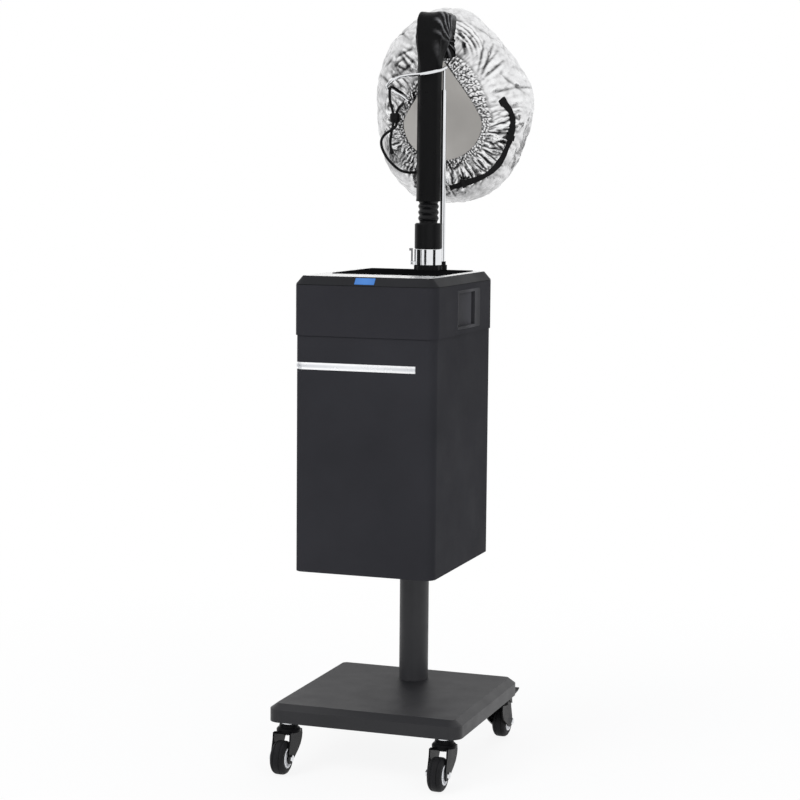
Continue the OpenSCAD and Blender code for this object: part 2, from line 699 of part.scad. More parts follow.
// Band of the body's front wall and left front corner, of height h and grown by g at its right end
module strip_cut(h, g) {
    intersection() {
        translate([0, cab_y, 0]) difference() {
            rbox(cab_w + 4, cab_d + 4, h, cab_r + 2);
            translate([0, 0, -over])
                rbox(cab_w - 2 * strip_groove, cab_d - 2 * strip_groove, h + 2 * over, cab_r - strip_groove);
        }
        translate([-cab_w, cab_front - 5, -over])
            cube([cab_w + strip_right + g, 5 + cab_r * 0.62, h + 2 * over]);
    }
}
module front_strip() color([0.85, 0.85, 0.86]) translate([0, 0, strip_z]) intersection() {
    translate([0, cab_y, 0])
        rbox(cab_w + 2 * strip_proud, cab_d + 2 * strip_proud, strip_h, cab_r + strip_proud);
    strip_cut(strip_h, 0);
}
module top_band() color([0.20, 0.20, 0.21]) difference() {
    translate([0, cab_y, band_z]) ring_box(band_w, band_d, band_h, band_r, wall);
    translate([-band_w, grip_y - grip_w / 2 - slack, grip_z - grip_h / 2 - slack])
        cube([2 * band_w, grip_w + 2 * slack, grip_h + 2 * slack]);
}
module lid() color([0.19, 0.19, 0.20]) difference() {
    translate([0, cab_y, lid_z]) difference() {
        bevel_box(band_w, band_d, lid_h, band_r, lid_bevel_w, bevel_run);
        translate([0, 0, -5 * over]) bevel_box(band_w - 2 * wall, band_d - 2 * wall, lid_h - skin + 5 * over,
            band_r - wall, lid_bevel_w, bevel_run);
        translate([0, 0, -0.01]) difference() {
            rbox(band_w + 2, band_d + 2, seam_h, band_r + 1);
            translate([0, 0, -over]) rbox(band_w - 2.4, band_d - 2.4, seam_h + 2 * over, band_r - 1.2);
        }
        translate([0, 0, deck_z - lid_z]) rbox(rim_w + 2 * slack, rim_d + 2 * slack, 3 * rim_t, 7 + slack);
    }
    translate([-well_w / 2, well_front, lid_z]) cube([well_w, plate_front - well_front + 4, 3 * lid_h]);
    translate([outlet_x, outlet_y, lid_z]) cylinder(d = neck_d + 8, h = 3 * lid_h);
    translate([key_x, key_y, lid_z]) cylinder(d = key_w + 2 * slack, h = 2 * lid_h);
    at_bevel() cube([window_w + 2 * slack, window_h + 2 * slack, 40], center = true);
}
// Frame in the middle of the front bevel, with Z out of the bevel
module at_bevel() { translate([0, bevel_mid[0], bevel_mid[1]]) rotate([bevel_tilt, 0, 0]) children(); }
module display_window() color([0.35, 0.58, 0.83]) at_bevel() {
    translate([-window_w / 2, -window_h / 2, -bevel_skin - 1]) cube([window_w, window_h, bevel_skin + 1.4]);
    translate([-window_w / 2 - 3, -window_h / 2 - 1.5, -bevel_skin - 1.3])
        cube([window_w + 6, window_h + 3, 1.2]);
}
module deck_rim() color([0.88, 0.88, 0.89]) difference() {
    translate([0, cab_y, deck_z]) rbox(rim_w, rim_d, rim_t, 7);
    translate([-panel_w / 2 - panel_gap, panel_front - panel_gap, deck_z - over])
        cube([panel_w + 2 * panel_gap, panel_d + 2 * panel_gap, 3 * rim_t]);
    translate([key_x, key_y, deck_z - over]) cylinder(d = key_w + 2 * slack, h = 3 * rim_t);
}
module fill_flap() color([0.04, 0.04, 0.05]) difference() {
    union() {
        translate([-panel_w / 2, panel_front, panel_z]) cube([panel_w, flap_d, panel_t]);
        for (x = [-1, 1]) {
            translate([x * knuckle_x - knuckle_l / 2, hinge_y, hinge_z]) rotate([0, 90, 0])
                cylinder(r = knuckle_r, h = knuckle_l);
            translate([x * knuckle_x - knuckle_l / 2, hinge_y - 6.6, hinge_z - 0.6])
                cube([knuckle_l, 6.6, 3.6]);
        }
    }
    translate([-panel_w, hinge_y, hinge_z]) rotate([0, 90, 0])
        cylinder(d = flap_pin_d + 2 * run, h = 2 * panel_w);
}
module flap_pin() color([0.8, 0.8, 0.82]) {
    reach = knuckle_x + knuckle_l / 2 + ear_l + slack;
    translate([-reach, hinge_y, hinge_z]) rotate([0, 90, 0]) cylinder(d = flap_pin_d, h = 2 * reach);
}
module outlet_plate() color([0.04, 0.04, 0.05]) difference() {
    union() {
        translate([-panel_w / 2, plate_front, panel_z]) cube([panel_w, panel_back - plate_front, panel_t]);
        for (x = [-1, 1], e = [-1, 1])
            translate([x * knuckle_x + e * (knuckle_l / 2 + slack + ear_l / 2) - ear_l / 2, hinge_y,
            hinge_z]) {
            rotate([0, 90, 0]) cylinder(r = knuckle_r - 0.2, h = ear_l);
            translate([0, 0, -3]) cube([ear_l, plate_front - hinge_y + 3, 5.6]);
        }
        translate([outlet_x, outlet_y, tube_low]) cylinder(d = neck_d + 7.4, h = panel_z - tube_low + 1);
    }
    translate([-panel_w, hinge_y, hinge_z]) rotate([0, 90, 0])
        cylinder(d = flap_pin_d + 2 * run, h = 2 * panel_w);
    translate([outlet_x, outlet_y, lid_z - 20]) cylinder(d = neck_d + 2 * run, h = 60);
}
module start_key() color([0.8, 0.8, 0.82]) translate([key_x, key_y, 0]) {
    foot = board_z + 1.6 + 2 + key_travel + 0.1;
    translate([0, 0, key_seat - 1.5]) cylinder(d = key_w, h = deck_z + rim_t - key_seat + 1.5);
    translate([0, 0, key_seat - 1.5]) cylinder(d = key_w + 4, h = 1.5);
    translate([0, 0, foot]) cylinder(d = 5, h = key_seat - 1 - foot);
}
module control_board() color([0.1, 0.35, 0.2]) {
    difference() {
        translate([-board_w / 2, cab_front + 14, board_z]) cube([board_w, board_d, 1.6]);
        for (x = [-1, 1], y = [20, board_d + 8])
            translate([x * (board_w / 2 - 5), cab_front + y, board_z - over])
            cylinder(d = 3.4, h = 4);
    }
    translate([key_x - 4, key_y - 4, board_z + 1.6]) cube([8, 8, 2]);
    translate([-24, cab_front + 16, board_z + 1.6]) cube([48, 10, 5]);
    for (x = [-40, -16]) translate([x, cab_front + 48, board_z - 9]) cube([18, 18, 9]);
    for (x = [-1, 1], y = [20, board_d + 8]) translate([x * (board_w / 2 - 5), cab_front + y, board_z + 1.6])
        cylinder(d = 6, h = lid_top - skin - board_z - 1.6);
}
module side_grips() color([0.17, 0.17, 0.18]) for (s = [-1, 1]) side_grip(s);
module side_grip(s) {
    face = band_w / 2;
    scoop_half = grip_w / 2 - grip_rim - 16;
    scoop_r = (scoop_half * scoop_half + grip_scoop * grip_scoop) / (2 * grip_scoop);
    inner_h = grip_h - 2 * grip_rim;
    mirror([s < 0 ? 1 : 0, 0, 0]) translate([0, grip_y, grip_z]) difference() {
        union() {
            translate([face - grip_block, -grip_w / 2, -grip_h / 2]) cube([grip_block, grip_w, grip_h]);
            translate([face - grip_block, -grip_w / 2 - 4, -grip_h / 2 + 2])
                cube([grip_block - wall, grip_w + 8, grip_h + 2]);
            translate([face - grip_depth - 2, slot_y - grip_slot_w / 2 - 2, -inner_h / 2 - 2])
                cube([grip_depth - grip_block + 3, grip_slot_w + 4, inner_h + 4]);
        }
        translate([face + scoop_r - grip_scoop, -18, -inner_h / 2])
            cylinder(r = scoop_r, h = inner_h, $fn = 180);
        translate([face - grip_depth, slot_y - grip_slot_w / 2, -inner_h / 2])
            cube([grip_depth + over, grip_slot_w, inner_h]);
    }
}

// Back
module rear_panel() color([0.16, 0.16, 0.17]) difference() {
    translate([-panel_x / 2 + slack, cab_back - back_t, cab_z + panel_low + slack])
        cube([panel_x - 2 * slack, back_t, panel_high - panel_low - 2 * slack]);
    for (i = [0 : vent_n - 1]) translate([-vent_w / 2, cab_back - 2 * back_t, vent_low + vent_pitch * i])
        cube([vent_w, 4 * back_t, vent_h]);
    translate([inlet_x - inlet_w / 2 - slack, cab_back - 2 * back_t, inlet_z - inlet_h / 2 - slack])
        cube([inlet_w + 2 * slack, 4 * back_t, inlet_h + 2 * slack]);
    translate([rocker_x - rocker_w / 2 - slack - 3, cab_back - 2 * back_t,
        rocker_z - rocker_h / 2 - slack - 3])
        cube([rocker_w + 2 * slack + 6, 4 * back_t, rocker_h + 2 * slack + 6]);
    for (x = [-1, 1], z = [panel_low, panel_high])
        translate([x * (panel_x / 2 - 4), cab_back + over, panel_screw_z(z)])
        rotate([90, 0, 0]) cylinder(d = 3 + 4 * run, h = 8);
}
module cabinet_screws() color([0.75, 0.75, 0.77]) {
    for (x = [-1, 1], z = [panel_low, panel_high])
        translate([x * (panel_x / 2 - 4), cab_back, panel_screw_z(z)])
        rotate([90, 0, 0]) {
            cylinder(d = 3, h = 6);
            translate([0, 0, -1.6]) cylinder(d = 6, h = 1.6);
        }
    for (x = [-1, 1], y = [-1, 1]) translate([x * head_bolt_x, post_y + y * head_bolt_y, 0]) {
        translate([0, 0, floor_z - head_t - 4]) hex(10, 4);
        translate([0, 0, floor_z - head_t - 0.1]) cylinder(d = head_bolt_d, h = head_t + sheet_t + 8);
        translate([0, 0, floor_z + sheet_t]) nut(head_bolt_d, 10, 5);
    }
}
// Inlet socket, and beside it the frame that the rocker tilts in
module mains_inlet() color([0.07, 0.07, 0.07]) {
    translate([inlet_x, cab_back, inlet_z]) {
        difference() {
            union() {
                translate([-inlet_w / 2, -24, -inlet_h / 2]) cube([inlet_w, 24, inlet_h]);
                translate([-inlet_w / 2 - 4, 0, -inlet_h / 2 - 3]) cube([inlet_w + 8, 2, inlet_h + 6]);
            }
            translate([-inlet_w / 2 + 2, -17, -inlet_h / 2 + 2]) cube([inlet_w - 4, 30, inlet_h - 4]);
        }
        for (x = [-7, 0, 7]) translate([x - 1, -17.5, x == 0 ? 1 : -4]) cube([2, 14, 4]);
    }
    translate([rocker_x, cab_back, rocker_z]) difference() {
        union() {
            translate([-rocker_w / 2 - 3, -17, -rocker_h / 2 - 3]) cube([rocker_w + 6, 17, rocker_h + 6]);
            translate([-rocker_w / 2 - 5, 0, -rocker_h / 2 - 5]) cube([rocker_w + 10, 1.4, rocker_h + 10]);
        }
        translate([-rocker_w / 2 - slack, -12, -rocker_h / 2 - 1.3])
            cube([rocker_w + 2 * slack, 20, rocker_h + 2.6]);
        translate([-rocker_w, -3, 0]) rotate([0, 90, 0]) cylinder(d = 3 + 2 * run, h = 2 * rocker_w);
    }
}
module power_rocker() color([0.75, 0.1, 0.1]) translate([rocker_x, cab_back - 3, rocker_z]) {
    rotate([rocker_tilt, 0, 0]) difference() {
        translate([-rocker_w / 2, -5, -rocker_h / 2]) cube([rocker_w, 8.5, rocker_h]);
        translate([-rocker_w, rocker_dish_y + rocker_dish_r, 0]) rotate([0, 90, 0])
            cylinder(r = rocker_dish_r, h = 2 * rocker_w);
    }
    translate([-rocker_w / 2 - 2.4, 0, 0]) rotate([0, 90, 0]) cylinder(d = 3, h = rocker_w + 4.8);
}

// Water side
module tank_shelf() color([0.6, 0.6, 0.62]) difference() {
    translate([0, cab_y, shelf_z])
        rbox(cab_w - 2 * wall - 2 * slack, cab_d - 2 * wall - 2 * slack, sheet_t, cab_r - wall - slack);
    translate([outlet_x, outlet_y, shelf_z - over]) cylinder(d = pipe_d + 2 * slack, h = sheet_t + 2 * over);
    translate([pump_x, pump_y, shelf_z - over]) cylinder(d = tube_d + 2 * slack, h = sheet_t + 2 * over);
}
module water_tank() color([0.8, 0.85, 0.9]) difference() {
    union() {
        translate([0, tank_y, tank_z]) rbox(tank_w, tank_d, tank_h, 12);
        translate([0, filler_y, tank_top - tank_wall])
            cylinder(r = neck_r, h = cap_z + filler_rise - tank_top + tank_wall);
    }
    translate([0, tank_y, tank_z + tank_wall])
        rbox(tank_w - 2 * tank_wall, tank_d - 2 * tank_wall, tank_h - 2 * tank_wall, 12 - tank_wall);
    translate([0, filler_y, tank_top - 2 * tank_wall])
        cylinder(r = neck_r - tank_wall, h = cap_z + filler_rise + over - tank_top + 2 * tank_wall);
    translate([pump_x, pump_y, tank_z - over]) cylinder(d = tube_d + 2 * slack, h = tank_wall + 2 * over);
}
module tank_cap() color([0.15, 0.35, 0.7]) translate([0, filler_y, cap_z]) difference() {
    union() {
        cylinder(d = cap_d, h = cap_h - 3);
        translate([0, 0, cap_h - 3.01]) rotate_extrude()
            polygon([[0, 0], [cap_d / 2, 0], [cap_d / 2 - 2, 3], [0, 3]]);
        translate([-cap_d / 2 + 5, -3, cap_h - 0.5]) cube([cap_d - 10, 6, 6]);
    }
    translate([0, 0, -over]) cylinder(r = neck_r + run, h = filler_rise + 0.2 + over);
}
module feed_pump() color([0.25, 0.25, 0.27]) {
    translate([pump_x, pump_y, floor_z + sheet_t]) rbox(pump_w, pump_d, pump_foot, 5);
    translate([pump_x - pump_len / 2, pump_y, pump_z + pump_axis]) rotate([0, 90, 0])
        cylinder(d = pump_can, h = pump_len);
    translate([pump_x, pump_y, pump_z + pump_neck_low]) cylinder(d = pump_neck, h = pump_neck_h);
}
module feed_pipes() color([0.85, 0.85, 0.85]) {
    down = pump_z + pump_neck_low + pump_neck_h;
    difference() {
        translate([pump_x, pump_y, down]) cylinder(d = tube_d, h = tank_z + tube_rise - down);
        translate([pump_x, pump_y, down - over])
            cylinder(d = tube_d - 3, h = tank_z + tube_rise + 2 * over - down);
    }
    mid = pump_z + pump_axis;
    high = mid + feed_lift;
    piped([[pump_x + pump_len / 2, pump_y, mid], [feed_x, pump_y, mid], [feed_x, feed_y, high],
        [outlet_x, feed_y, high], [outlet_x, outlet_y - boiler_d / 2, high]], tube_d / 2);
}
module boiler() color([0.72, 0.73, 0.75]) translate([outlet_x, outlet_y, boiler_z]) difference() {
    union() {
        cylinder(d = boiler_d, h = boiler_h);
        for (a = [0 : 90 : 270]) rotate([0, 0, a])
            translate([boiler_d / 2 - 12, 0, floor_z + sheet_t - boiler_z])
            cylinder(d = 8, h = boiler_z - floor_z - sheet_t + over);
    }
    translate([0, 0, 2]) cylinder(d = boiler_d - 4, h = boiler_h - 4);
    translate([0, 0, boiler_h - 3]) cylinder(d = pipe_d + 2 * run, h = 6);
    for (x = [-1, 1]) translate([x * element_bend, 0, -over]) cylinder(d = element_d + 2 * run, h = 4);
}
module heating_element() color([0.5, 0.3, 0.2]) translate([outlet_x, outlet_y, boiler_z]) {
    for (x = [-1, 1]) translate([x * element_bend, 0, -element_tail])
        cylinder(d = element_d, h = element_tail + element_rise);
    translate([0, 0, element_rise]) rotate([90, 0, 0]) rotate_extrude(angle = 180)
        translate([element_bend, 0]) circle(d = element_d);
}
module steam_pipe() color([0.75, 0.75, 0.77]) translate([outlet_x, outlet_y, boiler_top - 2]) difference() {
    cylinder(d = pipe_d, h = pipe_top - boiler_top + 2);
    translate([0, 0, -over]) cylinder(d = pipe_d - 2 * pipe_wall, h = pipe_top - boiler_top + 4 * over);
}

// Outlet turret
module swivel_ring() color([0.05, 0.05, 0.05]) difference() {
    union() {
        translate([outlet_x, outlet_y, turret_z]) linear_extrude(ring_h) {
            circle(r = ring_d / 2 - 1.6);
            for (i = [0 : ring_lobes - 1]) rotate(360 * (i + 0.5) / ring_lobes - 90)
                translate([ring_d / 2 - 7, 0]) circle(r = 7);
            rotate(bonnet_turn) translate([mast_u, mast_w]) circle(r = ear_r);
            rotate(bonnet_turn + atan2(mast_w, mast_u)) translate([0, -ear_r + 1.5])
                square([norm([mast_u, mast_w]), 2 * ear_r - 3]);
        }
        at_bonnet() translate([mast_u, mast_w, turret_z + 1]) cylinder(r = mast_d / 2 + 1.4, h = ring_h + 5);
    }
    translate([outlet_x, outlet_y, turret_z - over]) cylinder(d = neck_d + 2 * run, h = ring_h + 2 * over);
    at_bonnet() translate([mast_u, mast_w, mast_low]) cylinder(d = mast_d + 2 * run, h = 60);
}
module outlet_socket() color([0.85, 0.85, 0.87]) difference() {
    union() {
        translate([outlet_x, outlet_y, 0]) rotate_extrude()
            polygon([[neck_bore / 2, neck_low], [neck_d / 2, neck_low],
            [neck_d / 2 + neck_lip, neck_low + 2], [neck_d / 2 + neck_lip, tube_low - slack],
            [neck_d / 2, tube_low - slack], [neck_d / 2, ring_top], [socket_d / 2 - 1, ring_top],
            [socket_d / 2, ring_top + 1], [socket_d / 2, socket_top - 1],
            [socket_d / 2 - 1, socket_top], [socket_bore / 2, socket_top], [socket_bore / 2, ring_top + 4],
            [neck_bore / 2, ring_top + 4]]);
        at_bonnet() for (e = [-1, 1]) translate([-lever_r - 2.5, e * (lever_w / 2 + 1.3) - 1, ring_top + 0.5])
            cube([lever_r + 2.5 - socket_bore / 2 - 1.5, 2, 6]);
    }
    at_bonnet() translate([-lever_r, -10, lever_z]) rotate([-90, 0, 0])
        cylinder(d = lever_pin_d + 2 * run, h = 20);
}
module latch_lever() color([0.8, 0.8, 0.82]) at_bonnet() {
    translate([-lever_r, -lever_w / 2 - 2.4, lever_z]) rotate([-90, 0, 0])
        cylinder(d = lever_pin_d, h = lever_w + 4.8);
    translate([-lever_r - lever_t / 2, -lever_w / 2, lever_z]) cube([lever_t, lever_w, lever_l]);
    translate([-lever_r - lever_t / 2 - 3, -lever_w / 2, lever_z + lever_l - 4]) cube([3.5, lever_w, 4]);
}
module hose_cuff() color([0.09, 0.09, 0.09]) translate([outlet_x, outlet_y, 0]) rotate_extrude()
    polygon([[hose_bore / 2, socket_top - cuff_seat], [socket_bore / 2 - run, socket_top - cuff_seat],
        [socket_bore / 2 - run, socket_top], [cuff_d / 2 - 1, socket_top], [cuff_d / 2, socket_top + 1],
        [cuff_d / 2, cuff_top - 2], [cuff_d / 2 - 2, cuff_top], [hose_waist_d / 2 + run, cuff_top],
        [hose_waist_d / 2 + run, hose_low], [hose_bore / 2, hose_low]]);
module ribbed_hose() color([0.06, 0.06, 0.06]) translate([outlet_x, outlet_y, 0]) rotate_extrude() {
    a = hose_waist_d / 2;
    b = hose_d / 2;
    p = rib_pitch;
    ribs = [for (i = [0 : hose_ribs - 1]) let (z = rib_low + i * p)
        each [[a, z], [b - 0.6, z + 0.28 * p], [b, z + 0.42 * p], [b, z + 0.58 * p],
            [b - 0.6, z + 0.72 * p]]];
    polygon(concat([[hose_bore / 2, hose_low], [a, hose_low]], ribs,
        [[a, rib_low + hose_ribs * p], [a, hose_top], [hose_bore / 2, hose_top]]));
}
module mast_tube() color([0.85, 0.85, 0.87]) at_bonnet() translate([mast_u, mast_w, mast_low]) difference() {
    cylinder(d = mast_d, h = mast_len);
    translate([0, 0, 3]) cylinder(d = rod_d + 2 * run, h = mast_len);
}

// Lifting part: rod with its hook, sleeve and bonnet
module mast_rod() color([0.85, 0.85, 0.87]) at_rod_top() {
    translate([mast_u, mast_w, rod_low - rod_high]) cylinder(d = rod_d, h = rod_high - rod_low);
    sweep(hook_route, round_section(rod_d / 2 - 0.1, 12));
}
module sleeve() color([0.06, 0.06, 0.06]) at_bonnet() rotate([0, 0, -elbow_turn]) {
    n = sleeve_sides;
    last = len(sleeve_rows) - 1;
    points = concat([for (i = [0 : last]) each sleeve_ring(sleeve_rows[i], 0)],
        [for (i = [last : -1 : 0]) each sleeve_ring(sleeve_rows[i], sleeve_t)]);
    rings = 2 * (last + 1);
    polyhedron(points, [for (i = [0 : rings - 1], k = [0 : n - 1])
        let (a = i * n + k, b = i * n + (k + 1) % n, c = ((i + 1) % rings) * n + k,
            d = ((i + 1) % rings) * n + (k + 1) % n)
        each [[a, c, b], [b, c, d]]]);
}
// One ring of the sleeve, thinned by t: centre back and up, tilt, radius and how far the inside of the
// bend is pinched in
function sleeve_ring(row, t) = [for (k = [0 : sleeve_sides - 1])
    let (q = 360 * k / sleeve_sides, p = row[3] - t - row[4] * pow(max(0, sin(q)), 2))
    [p * cos(q), row[0] + p * sin(q) * cos(row[2]), row[1] - p * sin(q) * sin(row[2])]];
// The bonnet's rings: outer skin from the crown forward to the opening, then the lining back to the crown
function bonnet_point(a, b, u, z, w, tear, fold, k) =
    let (q = 360 * k / bonnet_sides, narrow = 1 - tear * pow(max(0, sin(q)), 1.6))
    [u + a * cos(q) * narrow, w + fold * cos(q * pleats), z + b * sin(q)];
function front_row(row, t) = let (s = row[0], side = sqrt(s)) [for (k = [0 : bonnet_sides - 1])
    bonnet_point(mouth_w / 2 + s * (bonnet_w - mouth_w) / 2 - t * side,
        mouth_h / 2 + s * (bonnet_h - mouth_h) / 2 - t * side,
        mouth_u + s * (bonnet_u - mouth_u), mouth_z + s * (bonnet_z - mouth_z),
        mouth_back + row[1] * bonnet_depth + t * (1 - 0.8 * s), 0.5 - 0.38 * s, row[2], k)];
function back_row(row, t) = [for (k = [0 : bonnet_sides - 1])
    bonnet_point(row[0] * (bonnet_w / 2 - t), row[0] * (bonnet_h / 2 - t), bonnet_u, bonnet_z,
        mouth_back + row[1] * (bonnet_depth - t), 0.12 * row[0], 0, k)];
module bonnet_skin() {
    n = bonnet_sides;
    fr = len(front_rows) - 1;
    bk = len(back_rows) - 1;
    rows = concat([for (i = [bk : -1 : 0]) back_row(back_rows[i], 0)],
        [for (i = [fr : -1 : 0]) front_row(front_rows[i], 0)],
        [for (i = [0 : fr]) front_row(front_rows[i], bonnet_t)],
            [for (i = [0 : bk - 1]) back_row(back_rows[i], bonnet_t)]);
    m = len(rows);
    points = concat([[bonnet_u, mouth_back + bonnet_depth, bonnet_z],
        [bonnet_u, mouth_back + bonnet_depth - bonnet_t, bonnet_z]],
        [for (r = rows) each r]);
    crown = [for (k = [0 : n - 1]) [0, 2 + k, 2 + (k + 1) % n]];
    lining = [for (k = [0 : n - 1]) let (o = 2 + (m - 1) * n) [1, o + (k + 1) % n, o + k]];
    skins = [for (i = [0 : m - 2], k = [0 : n - 1]) let (a = 2 + i * n + k, b = 2 + i * n + (k + 1) % n)
        each [[a, a + n, b], [b, a + n, b + n]]];
    polyhedron(points, concat(crown, lining, skins));
}
module bonnet() color([0.8, 0.8, 0.82]) at_bonnet() difference() {
    bonnet_skin();
    rotate([0, 0, -elbow_turn]) translate([0, 18, sleeve_bend_z + bend_r]) rotate([-90, 0, 0])
        cylinder(r = collar_d / 2 + slack / 2, h = 60);
}
module drawcord() color([0.05, 0.05, 0.05]) at_rod_top() sweep(loop_route, round_section(cord_d / 2, 8));
module hang_cord() color([0.05, 0.05, 0.05]) at_rod_top() {
    sweep(hang_route, round_section(cord_d / 2, 8));
    translate(hang_route[len(hang_route) - 1]) sphere(bead_r);
}
module cord_lock() color([0.05, 0.05, 0.05]) at_rod_top() translate(lock_at) difference() {
    translate([0, 0, -lock_h / 2]) rotate_extrude() polygon([[0, 0], [lock_d / 2 - 2, 0], [lock_d / 2, 2],
        [lock_d / 2, lock_h - 2], [lock_d / 2 - 2, lock_h], [0, lock_h]]);
    for (x = [-1, 1]) translate([x * 3, 0, -lock_h]) cylinder(d = cord_d + 1.2, h = 2 * lock_h);
    translate([0, -lock_d / 2 - over, 0]) rotate([-90, 0, 0]) cylinder(d = 7 + 2 * run, h = 5.4 + over);
}
module lock_button() color([0.12, 0.12, 0.12]) at_rod_top() translate(lock_at)
    translate([0, -lock_d / 2 - 3.2, 0]) rotate([-90, 0, 0]) cylinder(d = 7, h = 5.6);
module strap() color([0.05, 0.05, 0.05]) at_rod_top()
    sweep(strap_route, [[-strap_w / 2, -strap_t / 2], [strap_w / 2, -strap_t / 2],
        [strap_w / 2, strap_t / 2], [-strap_w / 2, strap_t / 2]]);
module strap_buckles() color([0.8, 0.8, 0.82]) at_rod_top() {
    strap_buckle(5, 9);
    strap_buckle(13, 7);
}
// Slide buckle of length l half way between route points i and i + 1
module strap_buckle(i, l) {
    a = strap_route[i];
    b = strap_route[i + 1];
    translate((a + b) / 2) rotate([0, atan2(a[2] - b[2], b[0] - a[0]), 0]) difference() {
        cube([l, strap_t + 4, strap_w + 4.6], center = true);
        cube([l + 2, strap_t + 1.2, strap_w + 1.2], center = true);
    }
}

base_cover();
base_plate();
base_bolts();
post();
caster_stems();
at_caster(-1, -1) fork(false);  // fork_front_left
at_caster(1, -1) fork(false);  // fork_front_right
at_caster(-1, 1) fork(true);  // fork_rear_left
at_caster(1, 1) fork(true);  // fork_rear_right
at_caster(-1, -1) axle();  // axle_front_left
at_caster(1, -1) axle();  // axle_front_right
at_caster(-1, 1) axle();  // axle_rear_left
at_caster(1, 1) axle();  // axle_rear_right
at_caster(-1, -1) wheel();  // wheel_front_left
at_caster(1, -1) wheel();  // wheel_front_right
at_caster(-1, 1) wheel();  // wheel_rear_left
at_caster(1, 1) wheel();  // wheel_rear_right
at_caster(-1, 1) brake_pedal();  // brake_pedal_left
at_caster(1, 1) brake_pedal();  // brake_pedal_right
chassis_floor();
body_shell();
top_band();
lid();
deck_rim();
fill_flap();
flap_pin();
outlet_plate();
front_strip();
side_grips();
display_window();
control_board();
start_key();
rear_panel();
cabinet_screws();
mains_inlet();
power_rocker();
water_tank();
tank_cap();
tank_shelf();
feed_pump();
feed_pipes();
boiler();
heating_element();
steam_pipe();
swivel_ring();
outlet_socket();
latch_lever();
hose_cuff();
ribbed_hose();
mast_tube();
mast_rod();
sleeve();
bonnet();
drawcord();
hang_cord();
cord_lock();
lock_button();
strap();
strap_buckles();
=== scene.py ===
"""Looks of the hair steamer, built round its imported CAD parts. Metres, row frame, +Z up, front facing -Y."""
import math

import bpy
import numpy as np
from mathutils import Matrix, Vector, noise
from mathutils.bvhtree import BVHTree


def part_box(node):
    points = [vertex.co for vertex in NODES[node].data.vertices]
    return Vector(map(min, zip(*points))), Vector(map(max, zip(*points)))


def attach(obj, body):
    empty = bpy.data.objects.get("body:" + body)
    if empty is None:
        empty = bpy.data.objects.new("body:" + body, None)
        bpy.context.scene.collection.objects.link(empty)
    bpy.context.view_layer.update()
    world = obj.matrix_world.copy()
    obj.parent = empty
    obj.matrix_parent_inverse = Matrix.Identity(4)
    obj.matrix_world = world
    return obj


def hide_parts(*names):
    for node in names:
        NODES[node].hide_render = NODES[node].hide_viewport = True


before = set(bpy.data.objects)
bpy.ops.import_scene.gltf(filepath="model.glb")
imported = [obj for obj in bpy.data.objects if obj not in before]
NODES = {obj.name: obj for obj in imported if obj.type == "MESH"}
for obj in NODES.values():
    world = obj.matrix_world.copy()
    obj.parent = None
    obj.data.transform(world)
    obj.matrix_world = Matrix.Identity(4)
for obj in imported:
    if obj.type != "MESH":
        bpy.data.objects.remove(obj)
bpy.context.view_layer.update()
CORNERS = ("front_left", "front_right", "rear_left", "rear_right")
MM = 0.001
NOISE_SEED = 1
noise.seed_set(NOISE_SEED)

# The camera solved from the photo: place in metres, angles in degrees and focal length in pixels
CAMERA_AT = (1.156, -3.274, 0.9831)
CAMERA_TURN, CAMERA_TILT, CAMERA_ROLL = 19.41, 6.22, 0.51
FOCAL_PX, PICTURE_PX, FILM_MM = 2096, 800, 36

# The source's own numbers, in millimetres, and two angles
OUTLET = (20.0, 86.0)
BONNET_TURN, ELBOW_TURN = math.radians(19), math.radians(20)
ROD_HIGH = 1151.9
SLEEVE_LOW, SLEEVE_TOP, SLEEVE_BEND_Z = 934.2, 1165.2, 1199.2
SLEEVE_R, COLLAR_R, BEND_R, SLEEVE_RUN = 20.4, 23.5, 27.0, 24.0
ELBOW_W, ELBOW_LEFT, ELBOW_SQUARE = 28.0, 20.6, 5.0
WHEEL_R, WHEEL_W, HUB_R = 27.75, 24.0, 16.0
BONNET_U, BONNET_Z, BONNET_W, BONNET_H, BONNET_D = 41.0, 1091.9, 269.0, 336.0, 165.0
MOUTH_U, MOUTH_Z, MOUTH_BACK, MOUTH_W, MOUTH_UP, MOUTH_LOW = 22.7, 1065.9, 30.0, 134.0, 104.0, 64.0
BONNET_LEAN, BONNET_BULGE = 10.0, 7.0
CORD_D, STRAP_W, STRAP_T = 4.0, 9.5, 1.4

# Routes of the cords from the outlet's axis at the rod's top: across, back and up, in millimetres
LOOP = [
    (-44.5, 31, -54), (-46, 25, -56), (-48.5, 18, -59), (-52, 14, -63), (-54.5, 12.3, -69), (-55, 12, -75),
    (-55, 12, -81), (-55, 12, -87), (-56, 9.4, -92), (-60, 6.6, -96.5), (-68, 6.4, -102), (-76, 8.4, -108.5),
    (-80.5, 11.2, -117), (-80, 13.5, -127), (-76, 15, -137), (-70, 16, -147), (-62, 17, -156),
    (-54, 18, -163), (-45, 19, -168), (-35, 20.5, -170), (-25, 22.5, -170), (-15, 25, -168),
    (-6, 26.5, -163), (1, 28, -158), (5, 31, -153)]
HANG = [
    (-42, 31, -44), (-46, 27, -38), (-54, 24, -32.5), (-60.5, 20.6, -28.5), (-64.6, 16.5, -27.4),
    (-66.2, 12.4, -28.7), (-67, 10.5, -32.8), (-67.2, 10.1, -39.5), (-66.8, 10.5, -48), (-65, 11.3, -57),
    (-62.6, 11.8, -65), (-61, 12, -72), (-61, 12, -79), (-61, 12, -87), (-62, 12, -96), (-64, 12.5, -106),
    (-65.5, 13, -117), (-65, 13.5, -127), (-63, 14, -136)]
